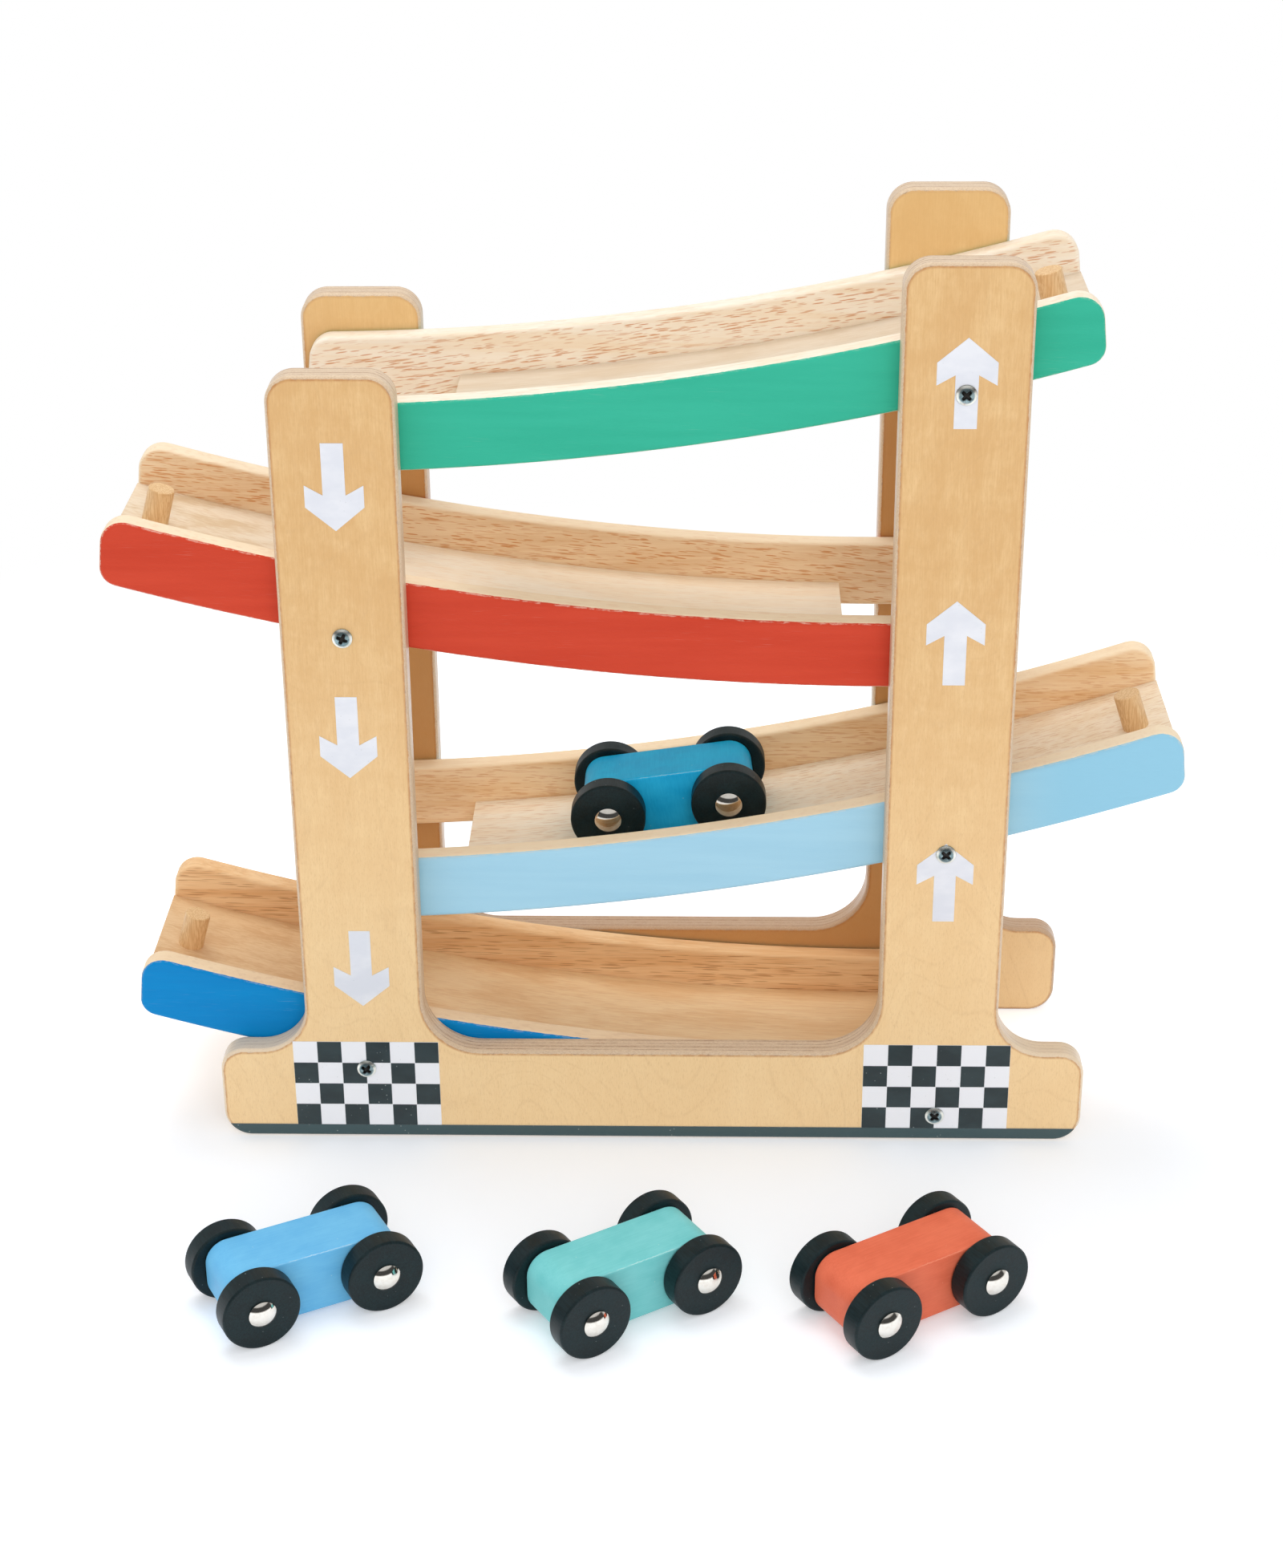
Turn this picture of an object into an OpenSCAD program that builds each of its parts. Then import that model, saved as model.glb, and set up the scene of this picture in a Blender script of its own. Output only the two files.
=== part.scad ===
// Click clack track toy: two plywood side panels carry four curved tracks, and four
// wooden cars roll down them. A car leaves each track through the gap at its low end
// and drops, nose first, onto the high end of the track below.
// Millimetres. X runs along the toy, Y from front to back, Z up from the table.
// The origin is on the table, in the middle of the tower and the three parked cars.

/* [Side panels] */
// Thickness of each plywood panel
panel_t = 9.8; // [6:0.2:14]
// Clear distance between the two panels
panel_gap = 75.2; // [64:0.2:110]
// Length of a panel along its base
base_l = 286; // [276:1:360]
// Height of the base bar and of the feet
base_h = 33.4; // [28:0.2:38]
// How far the left upright stands above the green track's rails
left_over = 12; // [10:0.1:30]
// How far the right upright stands above the green track's rails
right_over = 21.5; // [10:0.1:40]
// Width of each upright
upright_w = 39; // [32:0.5:44]
// Distance from the middle of the panel to the middle of an upright
upright_x = 94.3; // [90:0.1:97]
// Radius between an upright and the base bar, on the inside
inner_r = 19; // [8:0.5:26]
// Radius between an upright and the foot, on the outside
outer_r = 16; // [6:0.5:19]
// Radius of the top corners of an upright
top_r = 8.5; // [3:0.5:14]
// Radius of the top corner of a foot
foot_top_r = 8; // [2:0.5:9]
// Radius of the bottom corner of a foot
foot_low_r = 9; // [2:0.5:12]

/* [Tracks] */
// Thickness of a rail, the long wooden side of a track
rail_t = 8; // [5:0.25:11]
// How far a rail stands above the floor board
wall_h = 13.6; // [9:0.1:16]
// Thickness of a floor board, which lies flush with the bottoms of its rails
floor_t = 8.2; // [7:0.1:11]
// Radius of the curve that the floor boards follow
track_r = 883.6; // [790:0.1:1000]
// Length of a track past the upright at its high end
long_end = 55.5; // [44:0.5:70]
// The same length on the shorter top track
short_end = 21.6; // [18:0.2:30]
// How far the low end of a rail stops inside the upright's outer edge
low_inset = 2.8; // [0:0.2:10]
// Distance from an upright's inner edge to the low end of the floor board
drop_inset = 13; // [6:0.5:20]
// Lean of a track's end, in degrees, with its top drawn in
end_lean = 6; // [0:1:10]
// Radius of a rail's top corners
rail_top_r = 7.5; // [2:0.5:9]
// Radius of a rail's bottom corners
rail_low_r = 6; // [2:0.5:8]
// Rise from the red track's floor to the green track's, lowest point to lowest point
green_rise = 70.7; // [56:0.1:90]
// Distance of the green track's lowest point from the middle, towards its low end
green_low = 112.2; // [105:0.1:122]
// Rise from the pale blue track's floor to the red track's
red_rise = 83.8; // [70:0.1:100]
// Distance of the red track's lowest point from the middle, towards its low end
red_low = 76.6; // [68:0.1:90]
// Rise from the deep blue track's floor to the pale blue track's
pale_rise = 73.4; // [60:0.1:90]
// Distance of the pale blue track's lowest point from the middle, towards its low end
pale_low = 120; // [110:0.1:126]
// Height of the lowest point of the deep blue track's floor
deep_z = 12.2; // [11.4:0.1:15]
// Distance of the deep blue track's lowest point from the middle, towards its low end
deep_low = 86.9; // [76:0.1:96]

/* [Stop pegs] */
// Diameter of the dowel at the high end of a track
peg_d = 8.5; // [6:0.25:10]
// Height of the dowel above the floor board
peg_h = 12.4; // [6:0.2:18]
// Depth of the dowel in the floor board
peg_seat = 5.5; // [3:0.1:6]
// Distance of the dowel from the end of the track
peg_inset = 10.2; // [9:0.1:16]

/* [Screws] */
// Diameter of a screw's head
screw_head_d = 6.2; // [5:0.1:8]
// Height of a screw's head
screw_head_h = 1.6; // [1:0.1:2.4]
// Diameter of a screw's shank
screw_d = 3.4; // [2.5:0.1:4]
// Length of a screw under its head
screw_l = 30; // [24:1:36]
// Width of one arm of the cross in a screw's head
cross_w = 1.1; // [0.6:0.1:1.4]
// Length of the cross in a screw's head
cross_l = 3.4; // [2:0.1:4]
// Depth of the cross in a screw's head
cross_deep = 1; // [0.4:0.1:1.2]
// How far the screw at the deep blue track's low end sits above the board's middle
low_screw_rise = 1.6; // [0:0.1:1.7]

/* [Stickers] */
// Thickness of a sticker
sticker_t = 0.15; // [0.1:0.05:0.3]
// Thickness of the dark ink on a sticker
ink_t = 0.06; // [0.04:0.01:0.1]
// Side of one square of the chequer
square_s = 8.05; // [6:0.05:8.5]
// Squares in a row of the chequer
square_cols = 6; // [4:1:6]
// Rows of squares in the chequer
square_rows = 4; // [2:1:4]
// Height of the dark stripe's upper edge above the table
stripe_top = 4.8; // [3:0.1:5.4]
// Bare wood left below the dark stripe
stripe_bare = 0.6; // [0.3:0.1:1.2]
// Length of an arrow
arrow_l = 28; // [20:0.5:34]
// Width of an arrow's head
arrow_w = 18; // [12:0.5:24]
// Width of an arrow's shaft
arrow_shaft = 6.9; // [4:0.1:9]
// Height of an arrow head's sloping front
arrow_slope = 7.6; // [5:0.1:10]
// Height of an arrow head's straight side
arrow_side = 7; // [4:0.1:8]
// Distance from an arrow's tip to the notch behind its head
arrow_notch = 11.4; // [9:0.1:14]
// Height of the tip of the lowest down arrow
down_tip = 50.8; // [46:0.1:54]
// Height of the lowest up arrow's tip above the screw in its head
low_tip_over = 3.7; // [3.4:0.1:5]
// Height of the highest up arrow's tip above the screw in its shaft
high_tip_over = 17.5; // [15:0.1:20]

/* [Cars] */
// Diameter of a wheel
wheel_d = 24.6; // [20:0.2:25]
// Thickness of a wheel
wheel_t = 7; // [4:0.25:8]
// Rounding of a wheel's rims
wheel_r = 0.8; // [0.3:0.1:1.5]
// Distance between the outer faces of the two wheels on an axle
wheel_span = 35.2; // [32:0.2:42]
// Distance between the two axles of a car
wheel_base = 40; // [36:0.5:44]
// Diameter of an axle
axle_d = 3; // [2:0.25:4]
// Length of a car's wooden block
car_l = 56; // [52:0.5:60]
// Height of a car's wooden block
car_h = 20.6; // [16:0.2:22]
// Radius of the block's ends
car_r = 7.2; // [3:0.2:8]
// Diameter of a domed cap
cap_d = 8.7; // [7:0.1:10]
// Height of a domed cap
cap_h = 2.2; // [1.6:0.1:2.8]
// Height of the straight rim of a domed cap
cap_rim = 0.5; // [0.2:0.1:0.9]
// Depth of an axle's end in its cap
cap_seat = 1.2; // [0.8:0.1:1.5]

/* [Where the cars stand] */
// Distance of the tower's middle plane behind the origin
tower_y = 61.8; // [60:0.1:90]
// Place of the track car along its track, right of the middle
track_car_x = 5.6; // [-20:0.1:60]
// Distance of the track car from the middle of its lane, towards the back
track_car_y = -1.2; // [-6:0.1:6]
// Place of the sky blue car, left to right
sky_car_x = -104.5; // [-120:0.1:-90]
// Place of the sky blue car, front to back
sky_car_y = -76; // [-82:0.1:-72]
// Angle of the sky blue car, in degrees, turned from the X axis
sky_car_angle = 28.3; // [0:0.1:40]
// Place of the aqua car, left to right
aqua_car_x = -6.8; // [-10:0.1:10]
// Place of the aqua car, front to back
aqua_car_y = -78.7; // [-82:0.1:-72]
// Angle of the aqua car, in degrees, turned from the X axis
aqua_car_angle = 33.2; // [0:0.1:40]
// Place of the coral car, left to right
coral_car_x = 80.2; // [78:0.1:100]
// Place of the coral car, front to back
coral_car_y = -78.1; // [-82:0.1:-72]
// Angle of the coral car, in degrees, turned from the X axis
coral_car_angle = 32.9; // [0:0.1:40]

/* [Fits] */
// Clearance round an axle in a car's block, on the radius
axle_fit = 0.05; // [0.02:0.01:0.1]
// Clearance round a glued or pressed piece in its hole, on the radius
press_fit = 0.02; // [0.01:0.01:0.05]
// Clearance round a screw in the panel and the rail, on the radius
screw_fit = 0.15; // [0.05:0.05:0.3]
// Clearance between a car's wheel and its block
wheel_gap = 0.3; // [0.2:0.05:0.6]
// Clearance under the wheels of the car on the track
roll_gap = 0.6; // [0.5:0.05:0.9]
// Margin left round a printed square and round a screw's head in a sticker
print_gap = 0.1; // [0.05:0.01:0.2]

/* [Hidden] */

// Facets of a small round, and of a track's long curve
$fn = 64;
long_fn = 1440;
// Overrun of every cut past the face that it opens
over = 1;

// Colours
ply = "#e0b679";
raw_wood = "#e6cba5";
dowel_wood = "#deb078";
green_paint = "#42b89b";
red_paint = "#cf4a36";
pale_paint = "#a0d0e8";
deep_paint = "#0089d0";
wheel_black = "#2d3a3e";
zinc = "#b9bdb8";
nickel = "#d8d2c6";
steel = "#a8a9a6";
white_vinyl = "#e6eaf4";
dark_ink = "#41585b";
track_car_paint = "#2f8fb8";
sky_car_paint = "#6cb4e4";
aqua_car_paint = "#5cc4c0";
coral_car_paint = "#e06a50";

// Outer faces, and the side that each faces
half_gap = panel_gap / 2;
outer_y = half_gap + panel_t;
FRONT = -1;
BACK = 1;

// Radii of the rails' top and bottom edges, from the centre of a track's curve
rail_h = wall_h + floor_t;
top_edge_r = track_r - wall_h;
low_edge_r = track_r + floor_t;
rail_mid_r = track_r + (floor_t - wall_h) / 2;
floor_mid_r = track_r + floor_t / 2;

// A track: the side of its high end, its lowest point, its reach, the reach of its floor
// at the low end, and the ends that have screws
upright_out = upright_x + upright_w / 2;
upright_in = upright_x - upright_w / 2;
low_reach = upright_out - low_inset;
past_low = low_reach + rail_h;
drop_reach = upright_in - drop_inset;
RIGHT = 1;
LEFT = -1;
HIGH = 1;
LOW = -1;
pale_z = deep_z + pale_rise;
red_z = pale_z + red_rise;
green_z = red_z + green_rise;
GREEN = [RIGHT, green_low, green_z, upright_out + short_end, drop_reach, [HIGH]];
RED = [LEFT, red_low, red_z, upright_out + long_end, drop_reach, [HIGH]];
PALE = [RIGHT, pale_low, pale_z, upright_out + long_end, drop_reach, [HIGH]];
DEEP = [LEFT, deep_low, deep_z, upright_out + long_end, past_low, [HIGH, LOW]];
function side_of(track) = track[0];
function low_of(track) = track[1];
function height_of(track) = track[2];
function reach_of(track) = track[3];
function floor_low_of(track) = track[4];
function screws_of(track) = track[5];

// Depth below the curve's centre of a point at radius r, x past the lowest point
function drop_at(r, x) = sqrt(r * r - x * x);
// Height of a track's rails above the table, x from the middle towards the high end
function rail_top_z(track, x) =
    height_of(track) + track_r - drop_at(top_edge_r, x + low_of(track));
// Height of a track's screw above the table
function screw_z(track, end) = height_of(track) + track_r + screw_at(track, end)[1];
// Place of a screw from the curve's centre: x towards the high end, then z
function screw_at(track, end) =
    let (x = end * upright_x + low_of(track))
    [x, (end == LOW ? low_screw_rise : 0) - drop_at(floor_mid_r, x)];

// Heights of the uprights, and of the up arrows' tips with the step between two arrows
left_h = rail_top_z(GREEN, -upright_x) + left_over;
right_h = rail_top_z(GREEN, upright_x) + right_over;
up_tip = screw_z(PALE, HIGH) + low_tip_over;
arrow_step = (screw_z(GREEN, HIGH) + high_tip_over - up_tip) / 2;

// Holes for the screws
shank_r = screw_d / 2;
screw_hole_r = shank_r + screw_fit;

// Cars: the wheel's radius, the axles' places, and the ground clearance of the block
wheel_radius = wheel_d / 2;
axle_r = axle_d / 2;
axle_at = wheel_base / 2;
block_w = wheel_span - 2 * wheel_t - 2 * wheel_gap;
block_low = wheel_radius - car_h / 2;
cap_top_r = (pow(cap_d / 2, 2) + pow(cap_h - cap_rim, 2)) / (2 * (cap_h - cap_rim));
NEAR_END = -1;
FAR_END = 1;
// The track car: how far its axles lie below the curve's centre, and its turn round it
track_car_deep = sqrt(pow(track_r - wheel_radius - roll_gap, 2) - pow(axle_at, 2));
track_car_angle = asin((track_car_x + low_of(PALE)) / track_car_deep);

// A plate of thickness t standing in the XZ plane, its front face at y
module standing(y, t) {
    translate([0, y + t, 0]) rotate([90, 0, 0]) linear_extrude(t) children();
}

// A rectangle centred on X, standing on zero, with round bottom and top corners
module soft_rect(w, h, low_r, top_r) {
    half = w / 2;
    translate([-half, low_r]) square([w, h - low_r - top_r]);
    translate([low_r - half, 0]) square([w - 2 * low_r, h / 2]);
    translate([top_r - half, h / 2]) square([w - 2 * top_r, h / 2]);
    for (side = [-1, 1]) {
        translate([side * (half - low_r), low_r]) circle(low_r);
        translate([side * (half - top_r), h - top_r]) circle(top_r);
    }
}

// The material that rounds the corner between a wall on the left and a floor below
module fillet(r) {
    difference() {
        square(r);
        translate([r, r]) circle(r);
    }
}

// One upright with its two fillets, its inner side towards +X, at the panel's left
module upright(h) {
    translate([-upright_x, 0]) {
        translate([-upright_w / 2, base_h / 2]) square([upright_w, h - base_h / 2 - top_r]);
        translate([top_r - upright_w / 2, h / 2]) square([upright_w - 2 * top_r, h / 2]);
        for (side = [-1, 1])
            translate([side * (upright_w / 2 - top_r), h - top_r]) circle(top_r);
    }
    translate([-upright_in, base_h]) fillet(inner_r);
    translate([-upright_out, base_h]) mirror([1, 0]) fillet(outer_r);
}

// Outline of a side panel: the base bar with its feet, and two uprights
module panel_outline() {
    soft_rect(base_l, base_h, foot_low_r, foot_top_r);
    upright(left_h);
    mirror([1, 0]) upright(right_h);
}

// Places every screw of one panel: children stand on the panel's outer face, along Y
module at_screws(side) {
    for (track = [GREEN, RED, PALE, DEEP])
        for (end = screws_of(track))
            translate([
                side_of(track) * (screw_at(track, end)[0] - low_of(track)),
                side * outer_y,
                screw_z(track, end)
            ])
                rotate([side * 90, 0, 0]) children();
}

// A side panel with its screw holes
module panel(side) {
    difference() {
        standing(side > 0 ? half_gap : -outer_y, panel_t) panel_outline();
        at_screws(side)
            translate([0, 0, -over]) cylinder(r = screw_hole_r, h = panel_t + 2 * over);
    }
}

module on_tower() {
    translate([0, tower_y, 0]) children();
}

module front_panel() {
    color(ply) on_tower() panel(FRONT);
}

module back_panel() {
    color(ply) on_tower() panel(BACK);
}

// Puts a track's own frame in the tower: the curve's centre at zero, the high end to +X
module on_track(track) {
    on_tower() face_side(side_of(track))
        translate([-low_of(track), 0, height_of(track) + track_r]) children();
}

module face_side(side) {
    if (side == RIGHT) children();
    else mirror([1, 0, 0]) children();
}

// Distance of a leaning end line from the curve's centre, along the line's own normal
function end_line(reach) =
    reach * cos(end_lean) - drop_at(rail_mid_r, reach) * sin(end_lean);

// Centre of the round of radius r at a track's end: centre_r from the curve's centre
function round_at(reach, centre_r, r) =
    let (out = end_line(reach) - r, down = sqrt(centre_r * centre_r - out * out))
    [
        out * cos(end_lean) + down * sin(end_lean),
        out * sin(end_lean) - down * cos(end_lean)
    ];

// The sliver outside the round at one corner: edge_dir is +1 at the bottom edge, -1 at the top
module corner_sliver(reach, centre_r, r, edge_dir) {
    middle = round_at(reach, centre_r, r);
    out = [cos(end_lean), sin(end_lean)];
    edge = edge_dir * middle / norm(middle);
    past = r * (1 + corner_share);
    difference() {
        polygon([middle, middle + r * out, middle + past * (out + edge), middle + r * edge]);
        translate(middle) circle(r);
    }
}
// How far a corner's cutter runs past the corner, as a share of its radius
corner_share = 0.6;

// What lies outside a leaning end
module past_end(reach) {
    rotate(end_lean) translate([end_line(reach), -low_edge_r - over])
        square([2 * rail_h, low_edge_r]);
}

// A band of the curve between two radii and two ends, x measured from the curve's centre
module band(r_in, r_out, low, high) {
    difference() {
        circle(r_out, $fn = long_fn);
        circle(r_in, $fn = long_fn);
        translate([high, -r_out - over]) square([2 * r_out, 2 * r_out + 2 * over]);
        translate([low - 2 * r_out, -r_out - over]) square([2 * r_out, 2 * r_out + 2 * over]);
        translate([low - over, 0]) square([high - low + 2 * over, r_out + over]);
    }
}

// What a track's end takes off a band: what lies past the line, and the two corners
module end_cut(reach) {
    past_end(reach);
    corner_sliver(reach, top_edge_r + rail_top_r, rail_top_r, -1);
    corner_sliver(reach, low_edge_r - rail_low_r, rail_low_r, 1);
}

// Outline of a track's long parts between two radii, with both ends shaped
module track_outline(track, r_in, r_out, low) {
    high = reach_of(track) + low_of(track);
    difference() {
        band(r_in, r_out, low_of(track) - low, high + rail_h);
        end_cut(high);
        mirror([1, 0]) end_cut(low_reach - low_of(track));
    }
}

// The screw holes that a track's rails and floor take, with radius r and length l from the
// panel's inner face
module track_screw_holes(track, r, l) {
    for (end = screws_of(track), side = [FRONT, BACK])
        translate([screw_at(track, end)[0], side * (half_gap + over), screw_at(track, end)[1]])
            rotate([side * 90, 0, 0]) cylinder(r = r, h = l + over);
}

// A rail of one track, on one side
module rail(track, side) {
    on_track(track) difference() {
        standing(side > 0 ? half_gap - rail_t : -half_gap, rail_t)
            track_outline(track, top_edge_r, low_edge_r, past_low);
        track_screw_holes(track, screw_hole_r, rail_t + over);
    }
}

// Puts a child upright on a track's floor board, inset from the high end
module at_peg(track) {
    x = reach_of(track) + low_of(track) - peg_inset;
    rotate([0, -asin(x / track_r), 0]) translate([0, 0, -track_r]) children();
}

// The floor board of one track, with the dowel's blind hole and the screws' pilot holes
module floor_board(track) {
    on_track(track) difference() {
        standing(rail_t - half_gap, panel_gap - 2 * rail_t)
            track_outline(track, track_r, low_edge_r, floor_low_of(track));
        at_peg(track) translate([0, 0, -peg_seat])
            cylinder(r = peg_d / 2 + press_fit, h = peg_seat + over);
        track_screw_holes(track, shank_r + press_fit, screw_l - panel_t + press_fit);
    }
}

// The dowel that stops a car at the high end of a track
module peg(track) {
    on_track(track) at_peg(track) translate([0, 0, -peg_seat])
        cylinder(d = peg_d, h = peg_seat + peg_h);
}

// The five screws of one panel, heads outwards
module screws(side) {
    on_tower() at_screws(side) {
        translate([0, 0, -screw_head_h]) difference() {
            pan_head();
            for (turn = [0, 90])
                rotate(turn) translate([-cross_l / 2, -cross_w / 2, -over])
                    cube([cross_l, cross_w, cross_deep + over]);
        }
        cylinder(r = shank_r, h = screw_l);
    }
}

// A low domed head, its flat underside at screw_head_h
module pan_head() {
    rim_share = 0.35;
    rim = rim_share * screw_head_h;
    dome = screw_head_h - rim;
    dome_r = (pow(screw_head_d / 2, 2) + dome * dome) / (2 * dome);
    intersection() {
        cylinder(d = screw_head_d, h = screw_head_h);
        translate([0, 0, dome_r]) sphere(dome_r);
    }
}

// Stickers lie on both outer faces: layer is the distance from the face to the sticker's back
module on_face(side, layer, t) {
    y = side > 0 ? outer_y + layer : -outer_y - layer - t;
    on_tower() difference() {
        standing(y, t) children();
        at_screws(side) translate([0, 0, -screw_head_h])
            cylinder(r = screw_head_d / 2 + print_gap, h = 2 * screw_head_h);
    }
}

// A solid arrow that points up, its tip at zero
module arrow() {
    half = arrow_w / 2;
    shaft = arrow_shaft / 2;
    polygon([
        [0, 0],
        [half, -arrow_slope],
        [half, -arrow_slope - arrow_side],
        [shaft, -arrow_notch],
        [shaft, -arrow_l],
        [-shaft, -arrow_l],
        [-shaft, -arrow_notch],
        [-half, -arrow_slope - arrow_side],
        [-half, -arrow_slope]
    ]);
}

module arrow_stickers() {
    color(white_vinyl)
        for (side = [FRONT, BACK]) on_face(side, 0, sticker_t)
            for (i = [0:2]) {
                translate([-upright_x, down_tip + i * arrow_step]) mirror([0, 1]) arrow();
                translate([upright_x, up_tip + i * arrow_step]) arrow();
            }
}

// Outline of the dark stripe that follows the rounded foot of the panel
module stripe_outline() {
    intersection() {
        translate([0, stripe_bare])
            soft_rect(base_l - 2 * stripe_bare, base_h, foot_low_r - stripe_bare, foot_top_r);
        translate([-base_l / 2, 0]) square([base_l, stripe_top]);
    }
}

// Children are drawn at both chequers, their lower left corner at zero
module at_chequers() {
    for (x = [-upright_x, upright_x])
        translate([x - square_cols * square_s / 2, stripe_top]) children();
}

// One white sheet with the chequer and the stripe below it, on each panel
module chequer_stickers() {
    color(white_vinyl)
        for (side = [FRONT, BACK]) on_face(side, 0, sticker_t) {
            at_chequers() square([square_cols * square_s, square_rows * square_s]);
            stripe_outline();
        }
}

// The dark ink: the stripe, and every other square of the chequer
module chequer_ink() {
    color(dark_ink)
        for (side = [FRONT, BACK]) on_face(side, sticker_t, ink_t) {
            stripe_outline();
            at_chequers()
                for (row = [0:square_rows - 1], col = [0:square_cols - 1])
                    if ((row + col) % 2 == 0) ink_square(row, col);
        }
}

// One dark square: the lowest row runs into the stripe
module ink_square(row, col) {
    low = row == 0 ? -print_gap : print_gap / 2;
    translate([col * square_s + print_gap / 2, row * square_s + low])
        square([square_s - print_gap, square_s - low - print_gap / 2]);
}

// A car stands in its own frame: wheels on zero, X along it, the middle of it at zero
module on_floor_car(x, y, turn) {
    translate([x, y, 0]) rotate([0, 0, turn]) children();
}

module at_track_car() {
    on_track(PALE) rotate([0, -track_car_angle, 0])
        translate([0, track_car_y, -track_car_deep - wheel_radius]) children();
}

module at_sky_car() {
    on_floor_car(sky_car_x, sky_car_y, sky_car_angle) children();
}

module at_aqua_car() {
    on_floor_car(aqua_car_x, aqua_car_y, aqua_car_angle) children();
}

module at_coral_car() {
    on_floor_car(coral_car_x, coral_car_y, coral_car_angle) children();
}

// Wooden block of a car, with round ends and two axle holes
module car_block(paint) {
    color(paint) difference() {
        translate([0, 0, block_low]) standing(-block_w / 2, block_w)
            soft_rect(car_l, car_h, car_r, car_r);
        for (end = [NEAR_END, FAR_END])
            translate([end * axle_at, block_w / 2 + over, wheel_radius]) rotate([90, 0, 0])
                cylinder(r = axle_r + axle_fit, h = block_w + 2 * over);
    }
}

// Steel axle, its ends standing out of the wheels and into the caps
module car_axle(end) {
    l = wheel_span + 2 * cap_seat;
    color(steel) translate([end * axle_at, l / 2, wheel_radius]) rotate([90, 0, 0])
        cylinder(r = axle_r, h = l);
}

// Wooden wheel with rounded rims, pressed on its axle
module car_wheel(end, side) {
    color(wheel_black) translate([end * axle_at, side * wheel_span / 2, wheel_radius])
        rotate([side * 90, 0, 0]) rotate_extrude() difference() {
            union() {
                translate([0, wheel_r]) square([wheel_radius, wheel_t - 2 * wheel_r]);
                square([wheel_radius - wheel_r, wheel_t]);
                for (rim = [wheel_r, wheel_t - wheel_r])
                    translate([wheel_radius - wheel_r, rim]) circle(wheel_r);
            }
            translate([0, -over]) square([axle_r + press_fit, wheel_t + 2 * over]);
        }
}

// The two domed caps of one axle
module car_caps(end) {
    color(nickel) for (side = [FRONT, BACK])
        translate([end * axle_at, side * wheel_span / 2, wheel_radius])
            rotate([-side * 90, 0, 0]) difference() {
                intersection() {
                    cylinder(d = cap_d, h = cap_h);
                    translate([0, 0, cap_h - cap_top_r]) sphere(cap_top_r);
                }
                translate([0, 0, -over])
                    cylinder(r = axle_r + press_fit, h = cap_seat + press_fit + over);
            }
}

front_panel();
back_panel();
color(green_paint) rail(GREEN, FRONT);  // green_front_rail
color(green_paint) rail(GREEN, BACK);  // green_back_rail
color(raw_wood) floor_board(GREEN);  // green_floor
color(dowel_wood) peg(GREEN);  // green_peg
color(red_paint) rail(RED, FRONT);  // red_front_rail
color(red_paint) rail(RED, BACK);  // red_back_rail
color(raw_wood) floor_board(RED);  // red_floor
color(dowel_wood) peg(RED);  // red_peg
color(pale_paint) rail(PALE, FRONT);  // pale_blue_front_rail
color(pale_paint) rail(PALE, BACK);  // pale_blue_back_rail
color(raw_wood) floor_board(PALE);  // pale_blue_floor
color(dowel_wood) peg(PALE);  // pale_blue_peg
color(deep_paint) rail(DEEP, FRONT);  // deep_blue_front_rail
color(deep_paint) rail(DEEP, BACK);  // deep_blue_back_rail
color(raw_wood) floor_board(DEEP);  // deep_blue_floor
color(dowel_wood) peg(DEEP);  // deep_blue_peg
color(zinc) screws(FRONT);  // front_screws
color(zinc) screws(BACK);  // back_screws
arrow_stickers();
chequer_stickers();
chequer_ink();
at_track_car() car_block(track_car_paint);  // track_car_block
at_track_car() car_axle(NEAR_END);  // track_car_low_axle
at_track_car() car_axle(FAR_END);  // track_car_high_axle
at_track_car() car_caps(NEAR_END);  // track_car_low_caps
at_track_car() car_caps(FAR_END);  // track_car_high_caps
at_track_car() car_wheel(NEAR_END, FRONT);  // track_car_low_front_wheel
at_track_car() car_wheel(NEAR_END, BACK);  // track_car_low_back_wheel
at_track_car() car_wheel(FAR_END, FRONT);  // track_car_high_front_wheel
at_track_car() car_wheel(FAR_END, BACK);  // track_car_high_back_wheel
at_sky_car() car_block(sky_car_paint);  // sky_car_block
at_sky_car() car_axle(NEAR_END);  // sky_car_left_axle
at_sky_car() car_axle(FAR_END);  // sky_car_right_axle
at_sky_car() car_caps(NEAR_END);  // sky_car_left_caps
at_sky_car() car_caps(FAR_END);  // sky_car_right_caps
at_sky_car() car_wheel(NEAR_END, FRONT);  // sky_car_left_front_wheel
at_sky_car() car_wheel(NEAR_END, BACK);  // sky_car_left_back_wheel
at_sky_car() car_wheel(FAR_END, FRONT);  // sky_car_right_front_wheel
at_sky_car() car_wheel(FAR_END, BACK);  // sky_car_right_back_wheel
at_aqua_car() car_block(aqua_car_paint);  // aqua_car_block
at_aqua_car() car_axle(NEAR_END);  // aqua_car_left_axle
at_aqua_car() car_axle(FAR_END);  // aqua_car_right_axle
at_aqua_car() car_caps(NEAR_END);  // aqua_car_left_caps
at_aqua_car() car_caps(FAR_END);  // aqua_car_right_caps
at_aqua_car() car_wheel(NEAR_END, FRONT);  // aqua_car_left_front_wheel
at_aqua_car() car_wheel(NEAR_END, BACK);  // aqua_car_left_back_wheel
at_aqua_car() car_wheel(FAR_END, FRONT);  // aqua_car_right_front_wheel
at_aqua_car() car_wheel(FAR_END, BACK);  // aqua_car_right_back_wheel
at_coral_car() car_block(coral_car_paint);  // coral_car_block
at_coral_car() car_axle(NEAR_END);  // coral_car_left_axle
at_coral_car() car_axle(FAR_END);  // coral_car_right_axle
at_coral_car() car_caps(NEAR_END);  // coral_car_left_caps
at_coral_car() car_caps(FAR_END);  // coral_car_right_caps
at_coral_car() car_wheel(NEAR_END, FRONT);  // coral_car_left_front_wheel
at_coral_car() car_wheel(NEAR_END, BACK);  // coral_car_left_back_wheel
at_coral_car() car_wheel(FAR_END, FRONT);  // coral_car_right_front_wheel
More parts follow.
